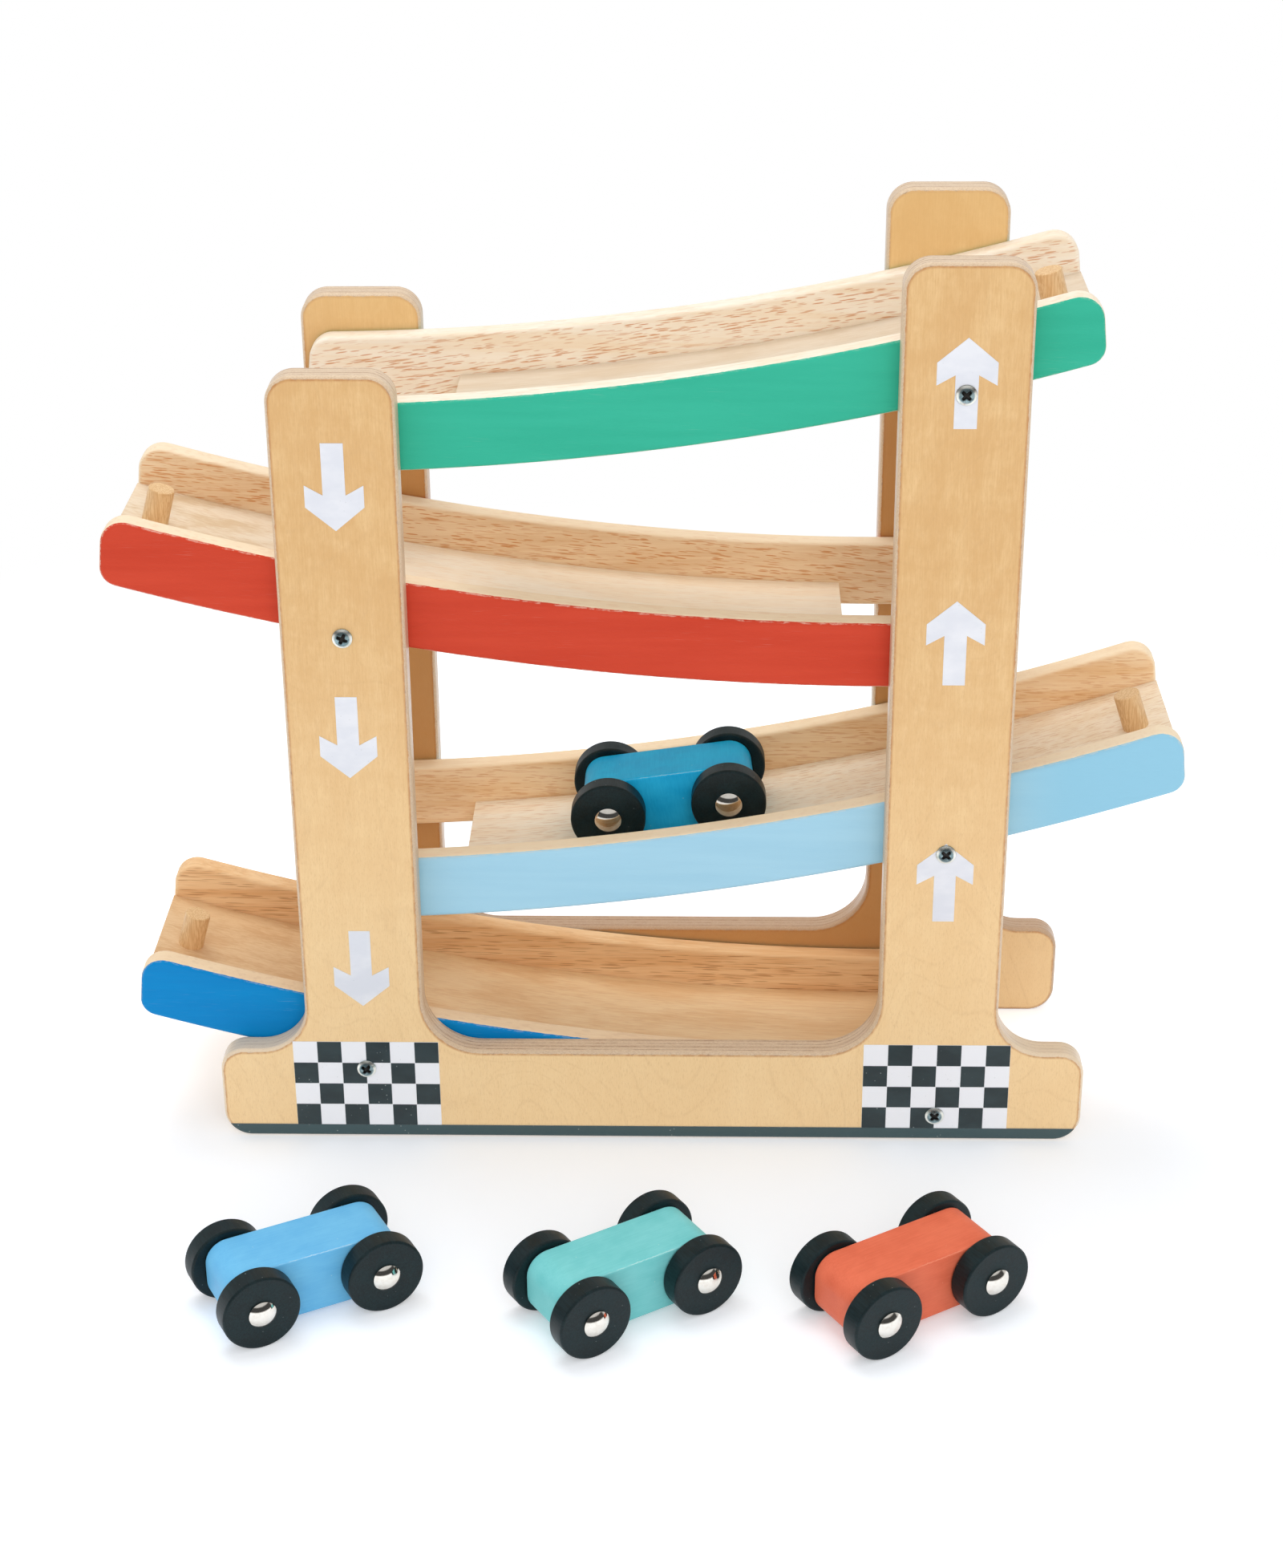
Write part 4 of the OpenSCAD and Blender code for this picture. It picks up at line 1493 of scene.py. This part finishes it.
@dataclass
class Chequers:
    """The chequer and stripe stickers at the foot of the panels."""

    panel: SidePanel
    square: float = 8.05
    columns: int = 6
    rows: int = 4
    gap: float = 0.1
    sheet_t: float = 0.15
    ink_t: float = 0.06
    stripe_top: float = 4.8
    bare: float = 0.85
    insets: tuple = (0.95, 1.1, 1.35)
    corner_steps: int = 16
    sheet_edge: float = 0.03
    sheet_border: float = 0.3
    least_square: float = 0.992
    seed: int = 3

    def stripe(self, lift: float, thick: float) -> MeshMaker:
        """The stripe along the bottom, which follows the panel's rounded edge.

        Args:
            lift: Distance of its back from the panel's face.
            thick: Its thickness.

        Returns:
            The stripe in front of a panel whose face is at Y zero.
        """
        made, panel = MeshMaker(), self.panel
        half, corner, edge = panel.base_l / 2, panel.foot_low_r, panel.edge
        limit = math.degrees(math.asin((corner - self.stripe_top) / (corner - self.bare)))
        outline = Outline()
        outline.arc((corner - half, corner), corner, 180 + limit, 270, self.corner_steps)
        outline.arc((half - corner, corner), corner, 270, 360 - limit, self.corner_steps)

        def skin(height: float, sign: int) -> list[list[int]]:
            """Rows of vertices at a height over the panel, from its edge to the top.

            Args:
                height: Height over the panel's face.
                sign: 1 where the normals point away from the panel, -1 where they point at it.

            Returns:
                The rows, as the vertices' numbers.
            """
            rows = []
            for inset in (self.bare, *self.insets, edge):
                tilt = (edge - inset) / edge
                row = []
                for p in outline.points:
                    (x, z), (out_x, out_z) = p.place, p.out
                    normal = Vector((out_x * tilt, -math.sqrt(1 - tilt ** 2), out_z * tilt))
                    base = Vector((x - out_x * inset, edge - down(edge, edge - inset),
                                   min(z - out_z * inset, self.stripe_top)))
                    row.append(made.vertex(base + normal * height, sign * normal))
                rows.append(row)
            rows.append([made.vertex((p.place[0] - p.out[0] * edge, -height, self.stripe_top),
                                     (0, -sign, 0)) for p in outline.points])
            return rows

        skins = skin(lift + thick, 1), skin(lift, -1)
        loop = skins[0] + skins[1][::-1]
        left, right = ([[row[end] for row in rows] for rows in skins] for end in (0, -1))
        for low, high in [*zip(loop, loop[1:] + loop[:1]), left, right[::-1]]:
            made.faces += [(low[i], low[i + 1], high[i + 1], high[i])
                           for i in range(len(low) - 1)]
        return made

    def sheet(self) -> MeshMaker:
        """One white chequer sheet, its lower left corner at zero, behind Y zero."""
        width, height = self.columns * self.square, self.rows * self.square
        outline = Outline()
        for place, before, after in (((width, 0), (0, -1), (1, 0)),
                                     ((width, height), (1, 0), (0, 1)),
                                     ((0, height), (0, 1), (-1, 0)),
                                     ((0, 0), (-1, 0), (0, -1))):
            outline.corner(place, before, after)
        return plate(outline, -self.sheet_t, 0, self.sheet_edge, self.sheet_border, steps=1)

    def corners(self) -> list[Point]:
        """Lower left corners of a panel's two chequers."""
        shift = self.columns * self.square / 2
        return [(side * TOWER.upright_x - shift, self.stripe_top) for side in (-1, 1)]

    def onto(self, face: Face) -> Matrix:
        """Takes a mesh in front of Y zero onto a panel's outer face."""
        turn = Matrix.Diagonal((1, -face.value, 1, 1))
        return Matrix.Translation((0, face.y(TOWER.outer()), 0)) @ turn

    def squares(self, ink: Material) -> Piece:
        """The dark squares of one chequer, by Geometry Nodes.

        Args:
            ink: Their finish.

        Returns:
            The squares, lower left corner at zero, in front of Y zero.
        """
        tree = PointTree("chequer_printer", Square="Float", Gap="Float", Thickness="Float",
                         Columns="Int", Rows="Int")
        square, columns, rows = (tree.given[name] for name in ("Square", "Columns", "Rows"))
        grid = tree.node("GeometryNodeMeshGrid", Vertices_X=columns, Vertices_Y=rows,
                         Size_X=tree.times(square, tree.minus(columns, 1)),
                         Size_Y=tree.times(square, tree.minus(rows, 1)))
        index = tree.node("GeometryNodeInputIndex").outputs[0]
        column = tree.maths("FLOOR", tree.maths("DIVIDE", index, rows))
        row = tree.minus(index, tree.times(column, rows))
        kept = tree.node("GeometryNodeDeleteGeometry", Geometry=grid.outputs["Mesh"],
                         Selection=tree.maths("MODULO", tree.plus(column, row), 2))
        side = tree.minus(square, tree.given["Gap"])
        solid = tree.node("ShaderNodeCombineXYZ", X=side, Y=side, Z=tree.given["Thickness"])
        tile = tree.node("GeometryNodeMeshCube", Size=solid.outputs[0])
        tree.set_at_points(kept.outputs[0], tile.outputs["Mesh"], ink,
                           Scale=tree.random(self.least_square, 1.0))
        made = tree.apply("chequer_squares", [(0, 0, 0)], Square=self.square * MM,
                          Gap=self.gap * MM, Thickness=self.ink_t * MM,
                          Columns=self.columns, Rows=self.rows, Seed=self.seed)
        middle = Vector((self.columns * self.square, -self.ink_t, self.rows * self.square)) / 2
        made.data.transform(Matrix.Translation(middle * MM) @ Matrix.Rotation(math.pi / 2, 4, "X"))
        return made

    def assemble(self, white: Material, ink: Material) -> None:
        """Builds the sheets and the ink on both panels.

        Args:
            white: Finish of the sheets.
            ink: Finish of the print.
        """
        sheets, stripes = MeshMaker(), MeshMaker()
        for face in Face:
            onto = self.onto(face)
            for x, z in self.corners():
                sheets.add(self.sheet(), onto @ Matrix.Translation((x, 0, z)))
            sheets.add(self.stripe(0, self.sheet_t), onto)
            stripes.add(self.stripe(self.sheet_t, self.ink_t), onto)
        take_over(sheets.build("chequer_sheets", white), TOWER_BODY, "chequer_stickers")
        parts = [stripes.build("ink_stripes", ink)]
        model = self.squares(ink)
        for face in Face:
            onto = self.onto(face)
            onto.translation *= MM
            for x, z in self.corners():
                mesh = model.data.copy()
                mesh.transform(onto @ Matrix.Translation(Vector((x, -self.sheet_t, z)) * MM))
                if face is Face.BACK:
                    mesh.flip_normals()
                parts.append(in_scene("ink_squares", mesh))
        bpy.data.objects.remove(model)
        take_over(joined(parts, "chequer_print"), TOWER_BODY, "chequer_ink")


@dataclass
class Car:
    """One wooden car: a painted block, and two axles with a wheel and a cap at each end."""

    name: str
    ends: dict
    place: Matrix
    origin: tuple
    turn: tuple
    paint: tuple
    deep_paint: tuple
    worn: tuple
    stroke: tuple = (9.0, 0.45, 0.45)
    wheel_d: float = 24.6
    wheel_t: float = 7.0
    wheel_r: float = 0.8
    wheel_span: float = 35.2
    wheel_base: float = 40.0
    wheel_gap: float = 0.3
    axle_d: float = 3.0
    length: float = 56.0
    height: float = 20.6
    corner: float = 7.2
    edge: float = 0.8
    cap_d: float = 8.7
    cap_h: float = 2.2
    cap_rim: float = 0.5
    cap_steps: int = 12
    border: float = 2.0
    wheel_sides: int = 96

    def block(self) -> Piece:
        """The painted wooden block."""
        half, low = self.length / 2 - self.corner, (self.wheel_d - self.height) / 2
        bottom, top = low + self.corner, low + self.height - self.corner
        outline = Outline()
        for turn, centre in enumerate(((half, bottom), (half, top), (-half, top), (-half, bottom))):
            outline.arc(centre, self.corner, 90 * turn - 90, 90 * turn)
        wide = self.wheel_span / 2 - self.wheel_t - self.wheel_gap
        finish = CarPaint(f"{self.name}_paint", self.paint, self.deep_paint, self.worn,
                          self.origin, self.turn, self.stroke)
        return plate(outline, -wide, wide, self.edge, self.border, steps=4).build(
            f"{self.name}_wood", finish.make(), self.place)

    def wheel(self) -> MeshMaker:
        """A wheel about its own Z axis, its outer face at zero and the rest above."""
        radius, bore = self.wheel_d / 2, self.axle_d / 2
        profile = [(bore + BREAK, self.wheel_t, 0, 1), (bore, self.wheel_t - BREAK, -1, 0),
                   (bore, BREAK, -1, 0), (bore + BREAK, 0, 0, -1),
                   *rounded(radius, 0, self.wheel_r, steps=5, up=-1),
                   *rounded(radius, self.wheel_t, self.wheel_r, steps=5)]
        return lathe(profile, self.wheel_sides)

    def cap(self) -> MeshMaker:
        """A domed cap about its own Z axis, standing on zero."""
        half = self.cap_d / 2
        rise = self.cap_h - self.cap_rim
        dome = (half * half + rise * rise) / (2 * rise)
        profile = [(0, 0, 0, -1), (half - BREAK, 0, 0, -1), (half, BREAK, 1, 0),
                   (half, self.cap_rim - BREAK, 1, 0)]
        for i in range(self.cap_steps + 1):
            angle = math.asin(half / dome) * (1 - i / self.cap_steps)
            out, up = math.sin(angle), math.cos(angle)
            profile.append((dome * out, self.cap_h - dome + dome * up, out, up))
        return lathe(profile)

    def assemble(self, nickel: Material, steel: Material, nodes: dict[str, Piece]) -> None:
        """Builds the car's pieces, and dresses the axles that stay as they are.

        Args:
            nickel: Finish of the caps.
            steel: Finish of the axles.
            nodes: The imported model's nodes.
        """
        take_over(self.block(), self.name, f"{self.name}_block")
        finish = WheelPaint(f"{self.name}_wheel_paint", self.origin, self.turn).make()
        for end, word in self.ends.items():
            body, start = f"{self.name}_{word}_wheels", f"{self.name}_{word}"
            caps = MeshMaker()
            for face in Face:
                turn = Matrix.Rotation(face.value * math.pi / 2, 4, "X")
                at = self.place @ Matrix.Translation((
                    end.value * self.wheel_base / 2, self.wheel_span / 2 * face.value,
                    self.wheel_d / 2))
                name = f"{start}_{face.word()}_wheel"
                take_over(self.wheel().build(f"{name}_wood", finish, at @ turn), body, name)
                caps.add(self.cap(), at @ turn.inverted())
            take_over(caps.build(f"{start}_domed_caps", nickel), body, f"{start}_caps")
            dress(nodes[f"{start}_axle"], steel)


# Helpers for the frame

def take_over(piece: Piece, body: str, *nodes: str) -> None:
    """Lets a piece stand for CAD nodes and ride on their body.

    Args:
        piece: The piece.
        body: The body that it rides on.
        nodes: The nodes that it stands for.
    """
    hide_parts(*nodes)
    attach(piece, body)
    log.info("%s stands for %s, %d faces", piece.name, ", ".join(nodes),
             len(piece.data.polygons))


def dress(thing: Piece, material: Material) -> None:
    """Gives an object one material."""
    if not thing.material_slots:
        thing.data.materials.append(material)
    for place in thing.material_slots:
        place.link = "OBJECT"
        place.material = material


def joined(parts: Sequence[Piece], name: str) -> Piece:
    """Joins objects at the origin into one.

    Args:
        parts: The objects, which are removed.
        name: Name of the new object.

    Returns:
        The new object.
    """
    whole = bmesh.new()
    for part in parts:
        whole.from_mesh(part.data)
    mesh = bpy.data.meshes.new(name)
    whole.to_mesh(mesh)
    whole.free()
    mesh.materials.append(parts[0].data.materials[0])
    mesh.polygons.foreach_set("material_index", [0] * len(mesh.polygons))
    for part in parts:
        bpy.data.objects.remove(part)
    return in_scene(name, mesh)


@dataclass
class Studio:
    """White seamless floor, soft light from above, and the photograph's camera."""

    focal_px: float = 3593.7
    tall_px: float = 1955.0
    sensor: float = 36.0
    eye: tuple = (18.6, -800.2, 532.7)
    yaw: float = -1.475
    pitch: float = 26.171
    roll: float = -0.4347
    nearest: float = 0.05
    farthest: float = 60.0
    floor_size: float = 12.0
    sky: float = 0.67
    dark_side: float = 0.06
    aim: tuple = (0, 0.05, 0.1)
    lamps: tuple = (("soft_box", 16.0, 1.2, (-0.3, 0.6, 2.1)),
                    ("front_fill", 13.0, 1.4, (0.25, -1.9, 1.45)))

    def camera(self) -> None:
        """Makes the camera."""
        data = bpy.data.cameras.new("photo_camera")
        data.sensor_fit = "AUTO"
        data.sensor_width = self.sensor
        data.lens = self.focal_px * self.sensor / self.tall_px
        data.clip_start, data.clip_end = self.nearest, self.farthest
        camera = in_scene("photo_camera", data)
        camera.matrix_world = Matrix.Translation(Vector(self.eye) * MM)
        for degrees, axis in ((-self.yaw, "Z"), (90 - self.pitch, "X"), (self.roll, "Z")):
            camera.matrix_world @= Matrix.Rotation(math.radians(degrees), 4, axis)
        bpy.context.scene.camera = camera

    def floor(self) -> None:
        """Makes the floor."""
        half = self.floor_size / 2
        mesh = bpy.data.meshes.new("studio_floor")
        mesh.from_pydata([(-half, -half, 0), (half, -half, 0), (half, half, 0),
                          (-half, half, 0)], [], [(0, 1, 2, 3)])
        mesh.materials.append(Backdrop().make())
        in_scene("studio_floor", mesh)

    def light(self) -> None:
        """Makes the sky, which glossy faces see dark low in front, and the soft lamps."""
        world = bpy.data.worlds.new("studio_sky")
        bpy.context.scene.world = world
        world.use_nodes = True
        nodes = Nodes(world.node_tree)
        path = nodes.node("ShaderNodeLightPath").outputs
        toward = nodes.node("ShaderNodeSeparateXYZ", Vector=nodes.node(
            "ShaderNodeTexCoord").outputs["Generated"]).outputs
        front = nodes.times(nodes.remap(toward["Z"], 0.0, 0.08),
                            nodes.remap(toward["Z"], 0.40, 0.55, 1, 0),
                            nodes.remap(toward["Y"], -0.1, 0.2, 1, 0), path["Is Glossy Ray"])
        plain = nodes.remap(front, 0, 1, self.sky, self.dark_side)
        seen = nodes.maths("MAXIMUM", path["Is Camera Ray"], path["Is Transmission Ray"])
        sky = nodes.tree.nodes["Background"].inputs
        nodes.feed((1, 1, 1, 1), sky["Color"])
        nodes.feed(nodes.maths("MAXIMUM", plain, seen), sky["Strength"])
        for name, power, size, place in self.lamps:
            lamp = bpy.data.lights.new(name, "AREA")
            lamp.shape = "SQUARE"
            lamp.size = size
            lamp.energy = power
            thing = in_scene(name, lamp)
            thing.visible_glossy = False
            aim = (Vector(self.aim) - Vector(place)).to_track_quat("-Z", "Y")
            thing.matrix_world = Matrix.Translation(place) @ aim.to_matrix().to_4x4()
        bpy.context.scene.view_settings.view_transform = "Standard"


# The toy

def board_wood(name: str, *values: object, **named: object) -> Rubberwood:
    """Wood of a track's floor board, whose pores are thin across the board."""
    return Rubberwood(*values, needle=(8.0, 0.8, 2.4), dash=(7.0, 0.5, 2.2),
                      name=f"{name}_board_wood", **named)


def make_tracks() -> list[Track]:
    """The four tracks, from the top down."""
    deep_z, pale_rise, red_rise, green_rise = 12.2, 73.4, 83.8, 70.7
    pale_z = deep_z + pale_rise
    red_z = pale_z + red_rise
    # The rail wood of the red, pale blue and deep blue tracks is set darker than the green track's:
    # painted shade of the tracks above them.
    green = Track(
        "green", Side.RIGHT, 112.2, red_z + green_rise,
        PaintedRail("green_rail_paint", srgb(58, 187, 157), srgb(52, 180, 150),
                    Rubberwood(srgb(253, 243, 226), srgb(248, 230, 204), 100, tilt=-0.14), 0.12),
        board_wood("green", srgb(228, 213, 192), srgb(218, 198, 171), 0, srgb(196, 154, 114),
                   0.35),
        past_high=21.6)
    red = Track(
        "red", Side.LEFT, 76.6, red_z,
        PaintedRail("red_rail_paint", srgb(213, 74, 50), srgb(204, 66, 43),
                    Rubberwood(srgb(244, 217, 181), srgb(231, 195, 153), 300, tilt=0.1,
                               rim_light_shares=(0.6, 0.6)), 0.45),
        board_wood("red", srgb(255, 246, 228), srgb(252, 236, 211), 300, srgb(214, 170, 126),
                   0.35, side_pores=0.6, aged=(-135, -85, srgb(222, 196, 160))))
    pale = Track(
        "pale_blue", Side.RIGHT, 120.0, pale_z,
        PaintedRail("pale_blue_rail_paint", srgb(172, 218, 240), srgb(164, 212, 236),
                    Rubberwood(srgb(252, 223, 184), srgb(241, 202, 154), 500, pores=0.45,
                               rim_light_shares=(0.75, 0.5)), 0.25, (105, 135, srgb(150, 206, 232))),
        board_wood("pale_blue", srgb(255, 246, 228), srgb(252, 235, 210), 500,
                   srgb(206, 156, 104), 0.6, side_pores=0.8,
                   aged=(130, 90, srgb(242, 222, 192))))
    deep = Track(
        "deep_blue", Side.LEFT, 86.9, deep_z,
        PaintedRail("deep_blue_rail_paint", srgb(0, 142, 212), srgb(0, 132, 204),
                    Rubberwood(srgb(247, 211, 165), srgb(233, 187, 136), 700,
                               srgb(160, 100, 54), 0.62, (13.0, 2.6, 0.7), (15.0, 2.4, 0.40),
                               0.03, (0.55, 0.0)), 0.15),
        board_wood("deep_blue", srgb(245, 218, 176), srgb(233, 196, 149), 700,
                   srgb(186, 132, 84), 0.45, side_pores=0.35,
                   aged=(-135, -95, srgb(218, 178, 132))),
        runs_out=True)
    return [green, red, pale, deep]


def car_on_table(x: float, y: float, degrees: float) -> tuple[Matrix, tuple, tuple]:
    """Frame of a car that stands on the table.

    Args:
        x: Left to right.
        y: Front to back.
        degrees: Its heading.

    Returns:
        The matrix in millimetres, and the material's origin in metres and turn.
    """
    turn = math.radians(degrees)
    place = Matrix.Translation((x, y, 0)) @ Matrix.Rotation(turn, 4, "Z")
    return place, (x * MM, y * MM, 0), (0, 0, turn)


def car_on_track(track: Track, x: float, y: float) -> tuple[Matrix, tuple, tuple]:
    """Frame of the car on the track.

    Args:
        track: The track.
        x: Place along the track, right of the middle.
        y: Distance from the middle of the lane.

    Returns:
        The matrix in millimetres, and the material's origin in metres and turn.
    """
    radius = Car.wheel_d / 2
    deep = down(track.curve - radius - ROLL_GAP, Car.wheel_base / 2)
    turn = math.asin((x + track.low) / deep)
    place = (Matrix.Translation((-track.low, TOWER.middle, track.centre_z()))
             @ Matrix.Rotation(-turn, 4, "Y") @ Matrix.Translation((0, y, -deep - radius)))
    return place, tuple(place.translation * MM), (0, -turn, 0)


def make_cars(track: Track) -> list[Car]:
    """The car on the track and the three that stand on the table.

    Args:
        track: The track that carries a car.

    Returns:
        The four cars.
    """
    on_track = {End.NEAR: "low", End.FAR: "high"}
    on_table = {End.NEAR: "left", End.FAR: "right"}
    return [
        Car("track_car", on_track, *car_on_track(track, 5.6, -1.2),
            srgb(40, 188, 238), srgb(4, 164, 222), srgb(150, 206, 222), (0.42, 6.0, 3.0)),
        Car("sky_car", on_table, *car_on_table(-104.5, -76.0, 28.3),
            srgb(120, 200, 244), srgb(100, 184, 236), srgb(196, 226, 244)),
        Car("aqua_car", on_table, *car_on_table(-6.8, -78.7, 33.2),
            srgb(134, 218, 220), srgb(112, 204, 206), srgb(200, 236, 232)),
        Car("coral_car", on_table, *car_on_table(80.2, -78.1, 32.9),
            srgb(240, 124, 92), srgb(224, 106, 76), srgb(242, 150, 120))]


def make_panel(top_track: Track) -> SidePanel:
    """The side panel, whose uprights end a little above the top track's rails.

    Args:
        top_track: The track whose rails the tops are set by.

    Returns:
        The panel.
    """
    past_left, past_right = 12.0, 21.5
    tops = [top_track.centre_z() - down(top_track.top_edge(), side * TOWER.upright_x
                                        + top_track.low) for side in (-1, 1)]
    return SidePanel(tops[0] + past_left, tops[1] + past_right)


def main() -> None:
    """Builds the toy and the studio."""
    logging.basicConfig(level=logging.INFO, format="%(name)s: %(message)s")
    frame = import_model()
    nodes = frame["nodes"]

    studio = Studio()
    studio.camera()
    studio.floor()
    studio.light()

    tracks = make_tracks()
    dowel = DowelWood().make()
    for track in tracks:
        track.assemble(dowel)

    ply = BirchPly().make()
    panel = make_panel(tracks[0])
    for face in Face:
        take_over(panel.build(face, ply), TOWER_BODY, f"{face.word()}_panel")

    # The zinc's last colour is a painted highlight at the screw heads' edges.
    zinc = BrightMetal("zinc_plate", srgb(150, 172, 176), srgb(104, 126, 132), 0.26, 0.42,
                       srgb(244, 244, 236))
    Screws([p for t in tracks for p in t.screw_places()]).assemble(zinc.make())
    reach, shown = (0.07, 0.15), (0.52, 0.60)
    # Each vinyl is painted lighter below its height, 40 and 4.8 mm: painted light from the floor.
    white = Vinyl("white_vinyl_sheet", srgb(236, 238, 245), srgb(226, 229, 238),
                  srgb(190, 194, 200), 0.32, Specks(0.35, 1.8, 6, reach, shown), 40.0,
                  srgb(246, 248, 254)).make()
    ink = Vinyl("dark_sign_ink", srgb(38, 56, 60), srgb(26, 43, 47), srgb(176, 184, 182), 0.38,
                Specks(0.6, 1.8, 6, reach, shown), 4.8, srgb(58, 82, 86)).make()
    Chequers(panel).assemble(white, ink)
    dress(nodes["arrow_stickers"], white)

    nickel = BrightMetal("nickel_plate", srgb(236, 232, 224), srgb(228, 222, 212),
                         0.06, 0.12).make()
    steel = BrightMetal("axle_steel_bare", srgb(176, 176, 172), srgb(132, 132, 130),
                        0.3, 0.45).make()
    for car in make_cars(tracks[2]):
        car.assemble(nickel, steel, nodes)


if __name__ == "__main__":
    main()
